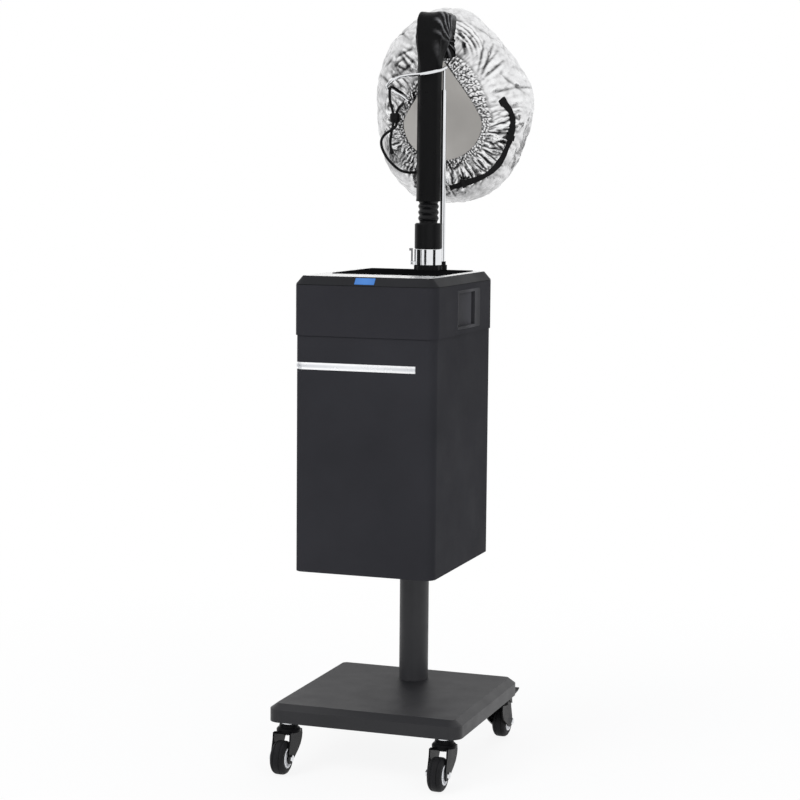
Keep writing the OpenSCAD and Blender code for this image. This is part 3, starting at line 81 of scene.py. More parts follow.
STRAP = [
    (121, 31, -45), (128, 28, -54), (136, 29, -64), (141, 30, -76), (141, 30, -90), (139, 29.5, -104),
    (136, 29, -117), (130, 28.5, -132), (124, 28, -145), (116, 27.5, -157), (106, 27, -167),
    (94, 26.5, -175), (80, 26, -181), (66, 26, -186), (52, 26.5, -191), (42, 29, -194), (36, 33, -196)]
# The braid stands fuller than the source's plain cord by this factor
BRAID_FULL = 1.16
# Moulded cord end: place along the cord and radius, in millimetres
CORD_END = [
    (-6, 0.2), (-6, 2.3), (-4.6, 2.9), (-3.4, 2.6), (-2.2, 3.4), (0, 4), (2.4, 3.8), (3.7, 2.4), (4, 0.2)]


def local(u, w, z):
    """A point of the bonnet's own frame, in millimetres, as a row frame point in metres."""
    c, s = math.cos(BONNET_TURN), math.sin(BONNET_TURN)
    return Vector(((OUTLET[0] + u * c - w * s) * MM, (OUTLET[1] + u * s + w * c) * MM, z * MM))


def rod_point(p):
    """A point of a cord's route as a row frame point in metres."""
    return local(p[0], p[1], ROD_HIGH + p[2])


def add_object(name, data):
    o = bpy.data.objects.new(name, data)
    bpy.context.scene.collection.objects.link(o)
    return o


# Camera

def make_camera():
    yaw, pitch, roll = (math.radians(a) for a in (CAMERA_TURN, CAMERA_TILT, CAMERA_ROLL))
    ahead = Vector((-math.sin(yaw) * math.cos(pitch), math.cos(yaw) * math.cos(pitch), -math.sin(pitch)))
    right = Vector((math.cos(yaw), math.sin(yaw), 0))
    up = right.cross(ahead)
    r = right * math.cos(roll) + up * math.sin(roll)
    u = up * math.cos(roll) - right * math.sin(roll)
    cam = add_object("camera", bpy.data.cameras.new("camera"))
    m = Matrix((r, u, -ahead)).transposed().to_4x4()
    m.translation = Vector(CAMERA_AT)
    cam.matrix_world = m
    cam.data.sensor_width = FILM_MM
    cam.data.lens = FOCAL_PX / PICTURE_PX * FILM_MM
    cam.data.clip_start, cam.data.clip_end = 0.1, 60
    bpy.context.scene.camera = cam


# Materials

def add_node(tree, kind, **values):
    """A new node; each value sets its property of that name or else its socket."""
    n = tree.nodes.new(kind)
    for k, v in values.items():
        if hasattr(n, k):
            setattr(n, k, v)
        else:
            n.inputs[k.replace("_", " ")].default_value = v
    return n


class Paint:
    """A Principled material with helpers that add its noise, bump and colour nodes."""

    def __init__(self, name, color, rough, metal=0.0, **sockets):
        self.m = bpy.data.materials.new(name)
        self.m.use_nodes = True
        self.t = self.m.node_tree
        self.b = self.t.nodes["Principled BSDF"]
        self.color, self.rough = color, rough
        self.b.inputs["Base Color"].default_value = (*color, 1)
        self.b.inputs["Roughness"].default_value = rough
        self.b.inputs["Metallic"].default_value = metal
        for k, v in sockets.items():
            self.b.inputs[k.replace("_", " ")].default_value = v
        self.where = self.add("ShaderNodeTexCoord").outputs["Object"]
        self.normal = None

    def add(self, kind, **values):
        return add_node(self.t, kind, **values)

    def link(self, a, b):
        self.t.links.new(a, b)

    def drive(self, socket, value):
        """Lets a value or colour set one of the material's own sockets."""
        self.link(value, self.b.inputs[socket])

    def calc(self, operation, *values, clamp=False):
        """One value worked out from others, each a socket or a number."""
        n = self.add("ShaderNodeMath", operation=operation, use_clamp=clamp)
        for socket, value in zip(n.inputs, values):
            if isinstance(value, (int, float)):
                socket.default_value = value
            else:
                self.link(value, socket)
        return n.outputs[0]

    def mix(self, value, a, b):
        """A colour between two, each a colour or a socket."""
        n = self.add("ShaderNodeMix", data_type="RGBA")
        for socket, color in ((n.inputs["A"], a), (n.inputs["B"], b)):
            if isinstance(color, tuple):
                socket.default_value = (*color, 1)
            else:
                self.link(color, socket)
        self.link(value, n.inputs["Factor"])
        return n.outputs["Result"]

    def ramp(self, value, low, high, a, b):
        n = self.add("ShaderNodeMapRange", From_Min=low, From_Max=high, To_Min=a, To_Max=b)
        self.link(value, n.inputs["Value"])
        return n.outputs["Result"]

    def stretched(self, scale):
        n = self.add("ShaderNodeMapping", Scale=scale)
        self.link(self.where, n.inputs["Vector"])
        return n.outputs["Vector"]

    def noise(self, scale, detail=3.0, stretch=None):
        n = self.add("ShaderNodeTexNoise", Scale=scale, Detail=detail, Roughness=0.55)
        self.link(self.stretched(stretch) if stretch else self.where, n.inputs["Vector"])
        return n.outputs["Fac"]

    def patches(self, scale, a=0, b=1, detail=3.0):
        """Soft patches of noise between two values."""
        return self.ramp(self.noise(scale, detail), 0.3, 0.7, a, b)

    def facets(self, scale, width):
        """Cells that rise from 0 at their borders to 1 inside."""
        n = self.add("ShaderNodeTexVoronoi", feature="DISTANCE_TO_EDGE", Scale=scale)
        self.link(self.where, n.inputs["Vector"])
        return self.ramp(n.outputs["Distance"], 0.0, width, 0.0, 1.0)

    def wave(self, scale, direction, profile="SIN"):
        n = self.add("ShaderNodeTexWave", wave_type="BANDS", bands_direction=direction,
                     wave_profile=profile, Scale=scale)
        self.link(self.where, n.inputs["Vector"])
        return n.outputs["Fac"]

    def weave(self, scale):
        return self.calc("MULTIPLY", self.wave(scale, "X"), self.wave(scale, "Z"))

    def fold(self):
        """The painted shading that the mesh stores for each point."""
        return self.add("ShaderNodeAttribute", attribute_name="fold").outputs["Fac"]

    def away(self, axis, middle):
        """Distance from the middle along one axis."""
        n = self.add("ShaderNodeSeparateXYZ")
        self.link(self.where, n.inputs[0])
        return self.calc("ABSOLUTE", self.calc("SUBTRACT", n.outputs[axis], middle))

    def vary(self, scale, share, rough_by=0.06):
        """Slow change of colour and gloss over the surface."""
        dark = tuple(c * (1 - share) for c in self.color)
        light = tuple(min(1, c * (1 + share)) for c in self.color)
        self.drive("Base Color", self.mix(self.patches(scale), dark, light))
        return self.polish(scale, rough_by)

    def polish(self, scale, rough_by):
        """Slow change of gloss alone."""
        low, high = max(0.02, self.rough - rough_by), min(1, self.rough + rough_by)
        self.drive("Roughness", self.patches(scale * 2.3 + 3, low, high))
        return self

    def bump(self, height, distance, strength):
        n = self.add("ShaderNodeBump", Strength=strength, Distance=distance)
        self.link(height, n.inputs["Height"])
        if self.normal:
            self.link(self.normal, n.inputs["Normal"])
        self.normal = n.outputs["Normal"]
        self.drive("Normal", self.normal)
        return self

    def grain(self, scale, distance, strength):
        return self.bump(self.noise(scale, 2.0), distance, strength)


def plain(name, color, rough, vary, grain, shine=0.5, metal=0.0, **more):
    """A paint of one colour with slow change over its surface and a fine grain."""
    return Paint(name, color, rough, metal, Specular_IOR_Level=shine, **more).vary(*vary).grain(*grain).m


def brushed(name, color, rough, vary, marks, relief):
    """Bare metal with the marks that its making leaves."""
    p = Paint(name, color, rough, 1.0).vary(*vary)
    return p.bump(p.noise(*marks), *relief).m


def case_paints():
    """Painted sheet and mouldings of the cabinet, post and base, and the black deck."""
    fine, faint = (1400, 0.00003, 0.5), (1400, 0.00003, 0.4)
    return {
        "cabinet": plain("cabinet_charcoal", (0.0285, 0.0285, 0.0325), 0.6, (5, 0.12), fine, 0.03),
        "band": plain("band_charcoal", (0.0285, 0.0283, 0.0325), 0.58, (5, 0.12), faint, 0.03),
        "lid": plain("lid_charcoal", (0.0225, 0.0227, 0.0245), 0.5, (6, 0.12), faint, 0.05),
        "base": plain("base_charcoal", (0.0150, 0.0150, 0.0170), 0.42, (6, 0.1), (1200, 0.00004, 0.6), 0.36),
        "post": plain("post_charcoal", (0.044, 0.044, 0.047), 0.42, (7, 0.12), (1500, 0.00003, 0.4), 0.28),
        "deck": plain("deck_black", (0.006, 0.006, 0.0065), 0.5, (8, 0.2, 0.04), (500, 0.00001, 0.3), 0.0),
        "panel": plain("rear_grey", (0.017, 0.017, 0.019), 0.5, (7, 0.15), (1100, 0.00006, 0.8), 0.16),
        "grip": grip_plastic(),
        "display": display_glass()}


def small_paints():
    """Mouldings, rubber, tank, board and key."""
    fine, coarse = (1500, 0.00003, 0.5), (1500, 0.00004, 0.6)
    return {
        "plastic": plain("moulded_black", (0.0065, 0.0065, 0.007), 0.36, (14, 0.2),
                         (1700, 0.00004, 0.7), 0.1),
        "fork": plain("caster_black", (0.0050, 0.0050, 0.0055), 0.28, (20, 0.2), coarse, 0.05),
        "tyre": plain("tyre_rubber", (0.012, 0.012, 0.013), 0.6, (30, 0.25), (1200, 0.00006, 0.8), 0.16),
        "hub": plain("hub_white", (0.86, 0.865, 0.88), 0.35, (25, 0.06), fine),
        "hose": plain("hose_rubber", (0.006, 0.006, 0.0065), 0.3, (30, 0.25), fine, 0.16),
        "blue_cap": plain("cap_blue", (0.03, 0.12, 0.42), 0.4, (20, 0.15), (1400, 0.00004, 0.6)),
        "red": plain("switch_red", (0.45, 0.015, 0.012), 0.32, (30, 0.12), (1400, 0.00003, 0.5)),
        "key": plain("key_satin", (0.6, 0.61, 0.63), 0.24, (60, 0.06, 0.03), (900, 0.00002, 0.4), metal=0.9),
        "tank": plain("tank_clear", (0.80, 0.87, 0.92), 0.16, (10, 0.04, 0.03), (600, 0.00002, 0.3),
                      Transmission_Weight=0.75, IOR=1.45),
        "board": board_green()}


def metal_paints():
    """Plated, rolled and drawn metal, with marks along the way that it was drawn."""
    upright, back, across, along = (1, 1, 0.05), (1, 0.06, 1), (0.04, 1, 1), (0.05, 1, 1)
    return {
        "chrome": brushed("chrome", (0.80, 0.81, 0.83), 0.07, (30, 0.05, 0.02),
                          (260, 2, upright), (0.00001, 0.5)),
        "latch": brushed("latch_chrome", (0.16, 0.16, 0.165), 0.14, (60, 0.3, 0.05),
                         (300, 2), (0.00002, 0.5)),
        "steel": brushed("zinc_steel", (0.55, 0.56, 0.58), 0.32, (40, 0.1), (500, 3, back), (0.00003, 0.6)),
        "sheet": brushed("sheet_steel", (0.5, 0.51, 0.53), 0.38, (20, 0.1),
                         (600, 3, across), (0.00003, 0.6)),
        "silver": brushed("deck_silver", (0.97, 0.97, 0.975), 0.26, (12, 0.03, 0.04),
                          (500, 3, along), (0.00002, 0.5)),
        "copper": plain("heater_copper", (0.45, 0.25, 0.16), 0.35, (60, 0.2),
                        (900, 0.00003, 0.6), metal=1.0),
        "strip": strip_metal()}


def soft_paints():
    """Cords, strap, sleeve, foil and lining."""
    black = (0.005, 0.005, 0.0055)
    cord = Paint("cord_braid", black, 0.6, Specular_IOR_Level=0.15, Sheen_Weight=0.1, Sheen_Roughness=0.4)
    cord.vary(60, 0.3, 0.08)
    cord.bump(cord.wave(420, "DIAGONAL"), 0.0003, 0.8).bump(cord.wave(310, "X"), 0.0002, 0.5)
    web = Paint("strap_web", black, 0.55, Specular_IOR_Level=0.15, Sheen_Weight=0.08, Sheen_Roughness=0.35)
    web.vary(30, 0.3, 0.07).bump(web.weave(520), 0.00025, 0.7)
    return {"cord": cord.m, "web": web.m, "cloth": sleeve_cloth(), "foil": foil_metal(),
            "lining": lining_film()}


def sleeve_cloth():
    """Black coated nylon: fine weave, a painted sheen that makes its ridges pale, with slow unevenness up its
    length.
    """
    black = (0.0045, 0.0045, 0.0048)
    p = Paint("sleeve_nylon", black, 0.34, Specular_IOR_Level=0.08, Sheen_Weight=0.02, Sheen_Roughness=0.35)
    p.polish(22, 0.08)
    # Painted sheen: the stored shading, varied at random, lightens the black towards grey on the ridges
    painted_light = p.calc("MULTIPLY", p.fold(), p.ramp(p.noise(110, 3), 0.35, 0.65, 0.5, 1.2), clamp=True)
    p.drive("Base Color", p.mix(painted_light, black, (0.42, 0.42, 0.43)))
    p.bump(p.weave(700), 0.0001, 0.5)
    return p.bump(p.noise(60, 3, (1, 1, 0.12)), 0.0012, 0.5).m


def foil_metal():
    """Metallised foil: bright, with crisp small crinkles and painted shade that darkens the valleys of the
    folds.
    """
    p = Paint("bonnet_foil", (0.80, 0.805, 0.815), 0.25, 1.0)
    # Maps the stored painted shade to colour: near black in the deep valleys, pale on the open faces
    ramp = p.add("ShaderNodeValToRGB")
    stops = ramp.color_ramp.elements
    stops[0].position, stops[0].color = 0.05, (0.02, 0.02, 0.022, 1)
    stops[1].position, stops[1].color = 0.95, (0.93, 0.935, 0.94, 1)
    for at, tone in ((0.35, 0.20), (0.60, 0.52), (0.78, 0.80)):
        stops.new(at).color = (tone, tone, tone * 1.01, 1)
    small = p.ramp(p.noise(90, 4), 0.35, 0.65, -0.05, 0.05)
    p.link(p.calc("ADD", small, p.fold(), clamp=True), ramp.inputs["Fac"])
    p.drive("Base Color", ramp.outputs["Color"])
    p.drive("Roughness", p.patches(40, 0.22, 0.36))
    return p.bump(p.facets(150.0, 0.25), 0.0005, 0.2).bump(p.facets(46.0, 0.3), 0.0012, 0.25).m


def lining_film():
    """The bag's pale grey inside, with a painted glow that stands in for the light inside the bag."""
    p = Paint("bonnet_lining", (0.63, 0.62, 0.605), 0.55, Specular_IOR_Level=0.2, Emission_Strength=1.0)
    p.vary(7, 0.10, 0.05)
    # Painted glow: emission in soft patches stands in for light inside the bag
    p.drive("Emission Color", p.mix(p.patches(7, detail=2), (0.105, 0.103, 0.100), (0.165, 0.162, 0.158)))
    return p.bump(p.noise(30, 3), 0.002, 0.35).m


def grip_plastic():
    """Side scoops: painted light makes them paler towards the finger slot, with slight random change."""
    p = Paint("grip_plastic", (0.03, 0.03, 0.034), 0.5, Specular_IOR_Level=0.1)
    low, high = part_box("side_grips")
    long = high.y - low.y
    # Painted light on the scoop, strongest near the finger slot
    near = p.ramp(p.away("Y", low.y + 0.62 * long), 0.0, 0.3 * long, 1, 0)
    painted_light = p.calc("ADD", near, p.patches(60, -0.06, 0.06), clamp=True)
    p.drive("Base Color", p.mix(painted_light, (0.027, 0.027, 0.031), (0.062, 0.062, 0.068)))
    return p.bump(p.noise(1600, 2), 0.00005, 0.8).m


def strip_metal():
    """Pale trim, brightest in the middle of its length, with painted highlights along its upper and lower
    edges.
    """
    p = Paint("strip_metal", (0.75, 0.76, 0.78), 0.3, 0.35)
    low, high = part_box("front_strip")
    tall = high.z - low.z
    length = p.mix(p.ramp(p.away("X", 0), 0.02, 0.115, 0, 1), (0.84, 0.85, 0.86), (0.62, 0.63, 0.65))
    # Painted highlight along the upper and lower edges
    edge = p.ramp(p.away("Z", (low.z + high.z) / 2), tall * 0.10, tall * 0.30, 0, 1)
    p.drive("Base Color", p.mix(edge, length, (0.99, 0.99, 0.99)))
    p.drive("Roughness", p.patches(30, 0.2, 0.32))
    return p.bump(p.noise(700, 2, (0.02, 1, 1)), 0.000004, 0.2).m


def display_glass():
    """Lit blue display: lighter in the middle, darker to its border, under a glossy pane."""
    p = Paint("display_blue", (0.02, 0.07, 0.2), 0.2, Specular_IOR_Level=0.2, Coat_Weight=0.1,
              Emission_Strength=0.7)
    low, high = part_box("display_window")
    far = p.add("ShaderNodeVectorMath", operation="DISTANCE")
    p.link(p.where, far.inputs[0])
    far.inputs[1].default_value = (low + high) / 2
    border = p.ramp(far.outputs["Value"], 0.004, 0.03, 0, 1)
    p.drive("Emission Color", p.mix(border, (0.075, 0.23, 0.60), (0.035, 0.14, 0.42)))
    return p.bump(p.noise(500, 1), 0.00001, 0.2).m


def board_green():
    """Circuit board under its lacquer, with tracks across it."""
    p = Paint("board_green", (0.012, 0.10, 0.045), 0.4, Coat_Weight=0.3).vary(50, 0.25)
    return p.bump(p.wave(260, "X", "SAW"), 0.00005, 0.4).m


# Mesh helpers

def add_mesh(name, points, faces, mat, smooth=True):
    me = bpy.data.meshes.new(name)
    me.from_pydata([tuple(p) for p in points], [], [tuple(int(i) for i in f) for f in faces])
    me.validate()
    me.update()
    o = add_object(name, me)
    me.materials.append(mat)
    if smooth:
        me.polygons.foreach_set("use_smooth", [True] * len(me.polygons))
    return o


def store_painted_shading(o, values):
    """Stores painted shading for each point, which the paints of foil and sleeve read."""
    a = o.data.attributes.new("fold", "FLOAT", "POINT")
    a.data.foreach_set("value", np.asarray(values, np.float32))


def circle(n):
    """Angles of n points round a circle."""
    return np.arange(n) * 2 * math.pi / n


def steps(x, a, b):
    """A soft step from 0 at a to 1 at b."""
    t = np.clip((x - a) / (b - a), 0, 1)
    return t * t * (3 - 2 * t)


def powered(x, power):
    """A power that keeps the sign."""
    return np.sign(x) * np.abs(x) ** power


def grid_faces(rows, cols, closed=True):
    """Four-sided faces of a grid of points, as an array; a closed one joins its last column to its first."""
    i, k = np.meshgrid(np.arange(rows - 1), np.arange(cols if closed else cols - 1), indexing="ij")
    a = i * cols + k
    b = i * cols + (k + 1) % cols
    return np.stack([a, b, b + cols, a + cols], -1).reshape(-1, 4)


def quads(rows, cols, closed=True):
    """The same faces as a list, so that others can join them."""
    return [tuple(int(i) for i in f) for f in grid_faces(rows, cols, closed)]


def grid_normals(g):
    """Unit normals of a closed grid (rows, columns, 3)."""
    dr = np.gradient(g, axis=0)
    dc = np.roll(g, -1, 1) - np.roll(g, 1, 1)
    n = np.cross(dc, dr)
    size = np.linalg.norm(n, axis=2, keepdims=True)
    return n / np.maximum(size, 1e-9)


def closed_bag(name, grid, mat, outward):
    """A bag from a closed grid of the bonnet's frame, with its last row drawn into one point."""
    rows, cols = grid.shape[:2]
    points = np.vstack([grid.reshape(-1, 3), grid[-1].mean(0, keepdims=True)])
    last = (rows - 1) * cols
    sides = quads(rows, cols)
    ends = [(last + k, last + (k + 1) % cols) for k in range(cols)]
    if outward:
        sides = [f[::-1] for f in sides]
        ends = [e[::-1] for e in ends]
    return add_mesh(name, [local(*p) for p in points], sides + [(*e, rows * cols) for e in ends], mat)


def smooth_line(points, per_span):
    """Catmull-Rom line through the points."""
    p = np.array(points, float)
    ends = np.vstack([2 * p[0] - p[1], p, 2 * p[-1] - p[-2]])
    t = np.linspace(0, 1, per_span, endpoint=False)[:, None]
    out = []
    for i in range(1, len(ends) - 2):
        a, b, c, d = ends[i - 1:i + 3]
        square, cube = 2 * a - 5 * b + 4 * c - d, 3 * b - a - 3 * c + d
        out.append(0.5 * (2 * b + (c - a) * t + square * t ** 2 + cube * t ** 3))
    return np.vstack([*out, p[-1:]])


# Cords

def round_cord(name, route, mat):
    curve = bpy.data.curves.new(name, "CURVE")
    curve.dimensions = "3D"
    curve.bevel_depth = CORD_D / 2 * MM * BRAID_FULL
    curve.bevel_resolution = 5
    curve.use_fill_caps = True
    line = smooth_line([rod_point(p) for p in route], 4)
    s = curve.splines.new("POLY")
    s.points.add(len(line) - 1)
    for point, co in zip(s.points, line):
        point.co = (*co, 1)
    curve.materials.append(mat)
    return add_object(name, curve), line


def flat_strap(mat):
    """The strap as a soft flat band: rounded edges, a stitched groove and slight cupping."""
    line = smooth_line([rod_point(p) for p in STRAP], 5)
    c, s = math.cos(BONNET_TURN), math.sin(BONNET_TURN)
    back = np.array((-s, c, 0.0))
    t = np.gradient(line, axis=0)
    t /= np.linalg.norm(t, axis=1)[:, None]
    a = np.cross(t, back)
    a /= np.linalg.norm(a, axis=1)[:, None]
    b = np.cross(t, a)
    n = 20
    q = circle(n)
    half_w, half_t = STRAP_W / 2 * MM, STRAP_T / 2 * MM
    cx, cy = powered(np.cos(q), 0.45), powered(np.sin(q), 0.7)
    groove = 1 - 0.35 * np.exp(-((np.abs(cx) - 0.72) / 0.1) ** 2)
    rows = []
    for i, p in enumerate(line):
        cup = 0.0004 * math.sin(i * 0.7)
        wide = 1 + 0.14 * math.sin(i * 0.31 + 0.6) + 0.05 * math.sin(i * 0.9) + 0.3 * math.exp(-(i / 4) ** 2)
        rows.append(p + np.outer(cx * half_w * wide, a[i]) + np.outer(cy * half_t * groove + cup, b[i]))
    last = len(line) * n
    faces = quads(len(line), n)
    faces += [(last, (k + 1) % n, k) for k in range(n)]
    faces += [(last + 1, last - n + k, last - n + (k + 1) % n) for k in range(n)]
    return add_mesh("strap_web", np.vstack([*rows, line[:1], line[-1:]]), faces, mat), line


def cord_end(mat):
    """Moulded cord end: a small ribbed bell round the cord's last millimetres."""
    end = np.array(rod_point(HANG[-1]))
    d = end - np.array(rod_point(HANG[-2]))
    d /= np.linalg.norm(d)
    a = np.cross(d, (1, 0, 0))
    a /= np.linalg.norm(a)
    b = np.cross(d, a)
    n = 24
    q = circle(n)
    rows = [end + d * (x * MM) + np.outer(np.cos(q) * r * MM, a) + np.outer(np.sin(q) * r * MM, b)
            for x, r in CORD_END]
    faces = quads(len(rows), n)
    faces += [tuple(range(n - 1, -1, -1)), tuple((len(rows) - 1) * n + k for k in range(n))]
    o = add_mesh("cord_end", np.vstack(rows), faces, mat)
    o.modifiers.new("round", "SUBSURF").levels = 1
    o.modifiers["round"].render_levels = 1
    return o


def make_cords(m):
    loop, loop_line = round_cord("drawcord_loop", LOOP, m["cord"])
    hang, hang_line = round_cord("hanging_cord", HANG, m["cord"])
    strap, strap_line = flat_strap(m["web"])
    bead = cord_end(m["plastic"])
    for o, node in ((loop, "drawcord"), (hang, "hang_cord"), (strap, "strap")):
        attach(o, "lift")
        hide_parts(node)
    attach(bead, "lift")


# Form of the bonnet

# Share of the way from the opening to the widest place, and of the depth there
FRONT = [(0, 0), (0.10, -0.008), (0.32, 0), (0.62, 0.04), (0.86, 0.14), (1, 0.34)]
# Share of the full width, and of the depth there
BACK = [(0.99, 0.52), (0.9, 0.72), (0.7, 0.87), (0.38, 0.97), (0.0, 1.0)]
SOFT_HALF = 16


def bonnet_stations():
    """Distances in mm, and control rows: half width, both half heights, centre, back, tear and lean."""
    rows = []
    for s, d in FRONT:
        rows.append((MOUTH_W / 2 + s * (BONNET_W - MOUTH_W) / 2, MOUTH_UP + s * (BONNET_H / 2 - MOUTH_UP),
                     MOUTH_LOW + s * (BONNET_H / 2 - MOUTH_LOW), MOUTH_U + s * (BONNET_U - MOUTH_U),
                     MOUTH_Z + s * (BONNET_Z - MOUTH_Z), MOUTH_BACK + d * BONNET_D, (1 - s) ** 1.5, s))
    for r, d in BACK:
        r = max(r, 0.01)
        rows.append((r * BONNET_W / 2, r * BONNET_H / 2, r * BONNET_H / 2, BONNET_U, BONNET_Z,
                     MOUTH_BACK + d * BONNET_D, 0, r))
    rows = np.array(rows)
    step = np.hypot(np.diff(rows[:, 0]), np.diff(rows[:, 5]))
    return np.concatenate([[0], np.cumsum(step)]), rows


def bonnet_rows(at):
    """The bonnet's row values at distances `at` (mm) from the opening along its side, softened."""
    t, rows = bonnet_stations()
    where = np.linspace(0, t[-1], 400)
    line = np.stack([np.interp(where, t, c) for c in rows.T], 1)
    kernel = np.hanning(2 * SOFT_HALF + 1)
    kernel /= kernel.sum()
    before, after = 2 * line[0] - line[SOFT_HALF:0:-1], 2 * line[-1] - line[-2:-SOFT_HALF - 2:-1]
    padded = np.vstack([before, line, after])
    soft = np.stack([np.convolve(c, kernel, "valid") for c in padded.T], 1)
    return np.stack([np.interp(at, where, c) for c in soft.T], 1)


def bonnet_grid(at, cols):
    """The bonnet's smooth surface as a closed grid, and the angles of its columns."""
    rows = bonnet_rows(at)
    q = circle(cols)
    h = np.maximum(0, np.sin(q))
    point = np.sqrt((1 - h ** 1.35) / (1 + h ** 1.35))
    side = (np.degrees(q) - 8 + 180) % 360 - 180
    a, up, low, u, z, w, tear, full = (rows[:, i][:, None] for i in range(8))
    tear, full = np.clip(tear, 0, 1), np.clip(full, 0, 1)
    a, up, low = np.maximum(a, 0.2), np.maximum(up, 0.2), np.maximum(low, 0.2)
    x = u + a * np.cos(q) * (1 - tear * (1 - point)) - BONNET_LEAN * full * h
    x = x + BONNET_BULGE * full * np.exp(-(side / 16) ** 2)
    return np.stack([x, w + 0 * q, z + np.where(np.sin(q) > 0, up, low) * np.sin(q)], -1), q


# Folds of the foil

FOIL_COLS, LINING_COLS, RIM_PLEATS = 440, 300, 74
# Waves that move the pleats sideways: count round the opening, share and phase
WARP = ((3, 0.35, 0.4), (5, 0.22, 2.1), (9, 0.12, 4.0), (17, 0.05, 1.0))
# A start value, and the bumps round the opening that are added to it: height, place and width in degrees.
# The rim is widest at the upper right, where the foil bunches most
RIM_WIDTH = 9, ((9, 42, 30), (4, 150, 22), (3, 262, 22))
PLEATS = 0.16, ((0.95, -25, 30), (0.6, -75, 28), (0.85, 214, 34), (0.4, 160, 26), (0.35, 120, 20))
# The rim's painted shade, darker at these angles: a start value and the bumps as above
RIM_SHADE = 0.17, ((0.16, 175, 60), (0.12, 262, 30))
# The rows of the roll back into the opening: back and outwards in millimetres, and share of the pleats
ROLL = ((12, -4.5, 3.6), (8, -2.0, 1.6), (4.5, 0.2, 0.9), (1.5, 0.6, 0.7))
# Centre of the arcs of foil that are pulled up round the elbow, across and up
ELBOW_AT = (24, 1176)
# Where the crumples left of the elbow get the most painted shade: how far left and half width, how high and
# half height
SWIRL = (42, 22, 1164, 18)
# The furthest that the folds stand out, and the radius that their width is measured at, in millimetres
HIGHEST, RIM_RING = 6.5, 92.0
# Long creases of the foil seen from the front: both ends across and up, width and depth, in millimetres
CREASES = [
    (86, 1142, 110, 1202, 2.4, 3.0), (80, 1147, 94, 1207, 2.0, 2.6), (90, 1140, 127, 1173, 2.2, 2.6),
    (84, 1150, 118, 1190, 1.8, 2.0), (46, 1223, 55, 1210, 2.6, 3.4), (55, 1210, 59, 1182, 2.6, 3.4),
    (66, 1217, 80, 1190, 2.2, 2.6), (107, 1117, 147, 1127, 2.4, 2.2), (149, 1127, 175, 1127, 1.8, 1.8),
    (36, 1243, 58, 1238, 2.6, 1.8), (93, 975, 73, 955, 2.2, 2.6), (60, 985, 48, 950, 2.2, 2.6),
    (104, 985, 90, 960, 2.0, 2.2), (-70, 1140, -52, 1147, 2.4, 2.2), (-76, 1163, -64, 1173, 2.6, 2.4),
    (-56, 1176, -30, 1190, 2.8, 3.0), (-60, 1160, -40, 1176, 2.6, 3.0), (-48, 1150, -28, 1166, 2.4, 2.8),
    (30, 960, 46, 940, 2.2, 2.4), (100, 1040, 150, 1030, 2.4, 1.8), (-90, 1150, -62, 1126, 2.4, 2.0),
    (-74, 1205, -40, 1225, 2.6, 2.0), (-60, 1230, -36, 1206, 2.2, 1.8), (70, 1236, 112, 1214, 3.0, 1.8),
    (28, 1003, 40, 985, 2.4, 3.2), (40, 985, 56, 1001, 2.2, 2.6), (118, 1068, 140, 1062, 2.2, 2.4),
    (112, 1050, 136, 1040, 2.2, 2.6), (104, 1030, 126, 1014, 2.2, 2.6), (94, 1010, 112, 990, 2.2, 2.6),
    (120, 1150, 160, 1118, 2.6, 1.8), (128, 1098, 158, 1060, 2.4, 1.6)]
# Painted light and shade on parts of the foil: across and up, both half sizes in millimetres, and the change
SHADES = [
    (85, 1228, 38, 22, 0.10), (62, 1205, 20, 28, -0.14), (-45, 1160, 24, 20, -0.22),
    (-50, 1215, 26, 26, -0.06), (-82, 1110, 26, 46, -0.12), (-62, 1010, 24, 40, -0.24),
    (60, 945, 56, 16, -0.20), (98, 985, 30, 26, -0.16), (108, 1040, 18, 34, -0.06),
    (100, 1140, 22, 26, 0.08), (-36, 1120, 14, 34, -0.16), (70, 1010, 30, 14, -0.10),
    (46, 1178, 13, 13, -0.24), (152, 1100, 28, 70, 0.06), (36, 996, 16, 10, -0.14)]


def pointed(x):
    """A wave from 0 to 1 with sharp valleys, as gathered foil stands in pleats."""
    return np.abs(np.cos(x / 2)) ** 0.8


def bumps(q, start, parts):
    """The start value with the bumps added to it, at the angles q."""
    out = start
    for height, centre, width in parts:
        d = (np.degrees(q) - centre + 180) % 360 - 180
        out = out + height * np.exp(-(d / width) ** 2)
    return out


def crumple(points, scale, seed):
    """Facets with sharp valleys: how much nearer the nearest of scattered points lies than the next one."""
    out = np.empty(len(points))
    shift = Vector((seed * 3.1, seed * 7.7, seed * 1.9))
    for i, p in enumerate(points):
        v = Vector(p) * scale + shift
        v += noise.noise_vector(v * 0.6) * 0.45
        d, _ = noise.voronoi(v, distance_metric="MANHATTAN")
        out[i] = min(d[1] - d[0], 0.9)
    return out


def hollow(h, rows, cols):
    """How far heights stand above their neighbours within some rows and columns; below 0 in a fold."""
    a, b = np.hanning(2 * rows + 3)[1:-1], np.hanning(2 * cols + 3)[1:-1]
    a, b = a / a.sum(), b / b.sum()
    wide = np.concatenate([h[:, -cols:], h, h[:, :cols]], 1)
    wide = np.stack([np.convolve(r, b, "valid") for r in wide])
    tall = np.concatenate([wide[:1]] * rows + [wide] + [wide[-1:]] * rows)
    return h - np.stack([np.convolve(c, a, "valid") for c in tall.T], 1)


def crease_depth(x, z):
    """Depth of the long creases at points across and up."""
    out = np.zeros_like(x)
    for x0, z0, x1, z1, width, depth in CREASES:
        dx, dz = x1 - x0, z1 - z0
        length = math.hypot(dx, dz)
        t = np.clip(((x - x0) * dx + (z - z0) * dz) / length ** 2, 0, 1)
        d = np.hypot(x - x0 - t * dx, z - z0 - t * dz)
        out += depth * np.exp(-(d / width) ** 1.4) * np.sin(np.pi * np.clip(t, 0.06, 0.94)) ** 0.5
    return out


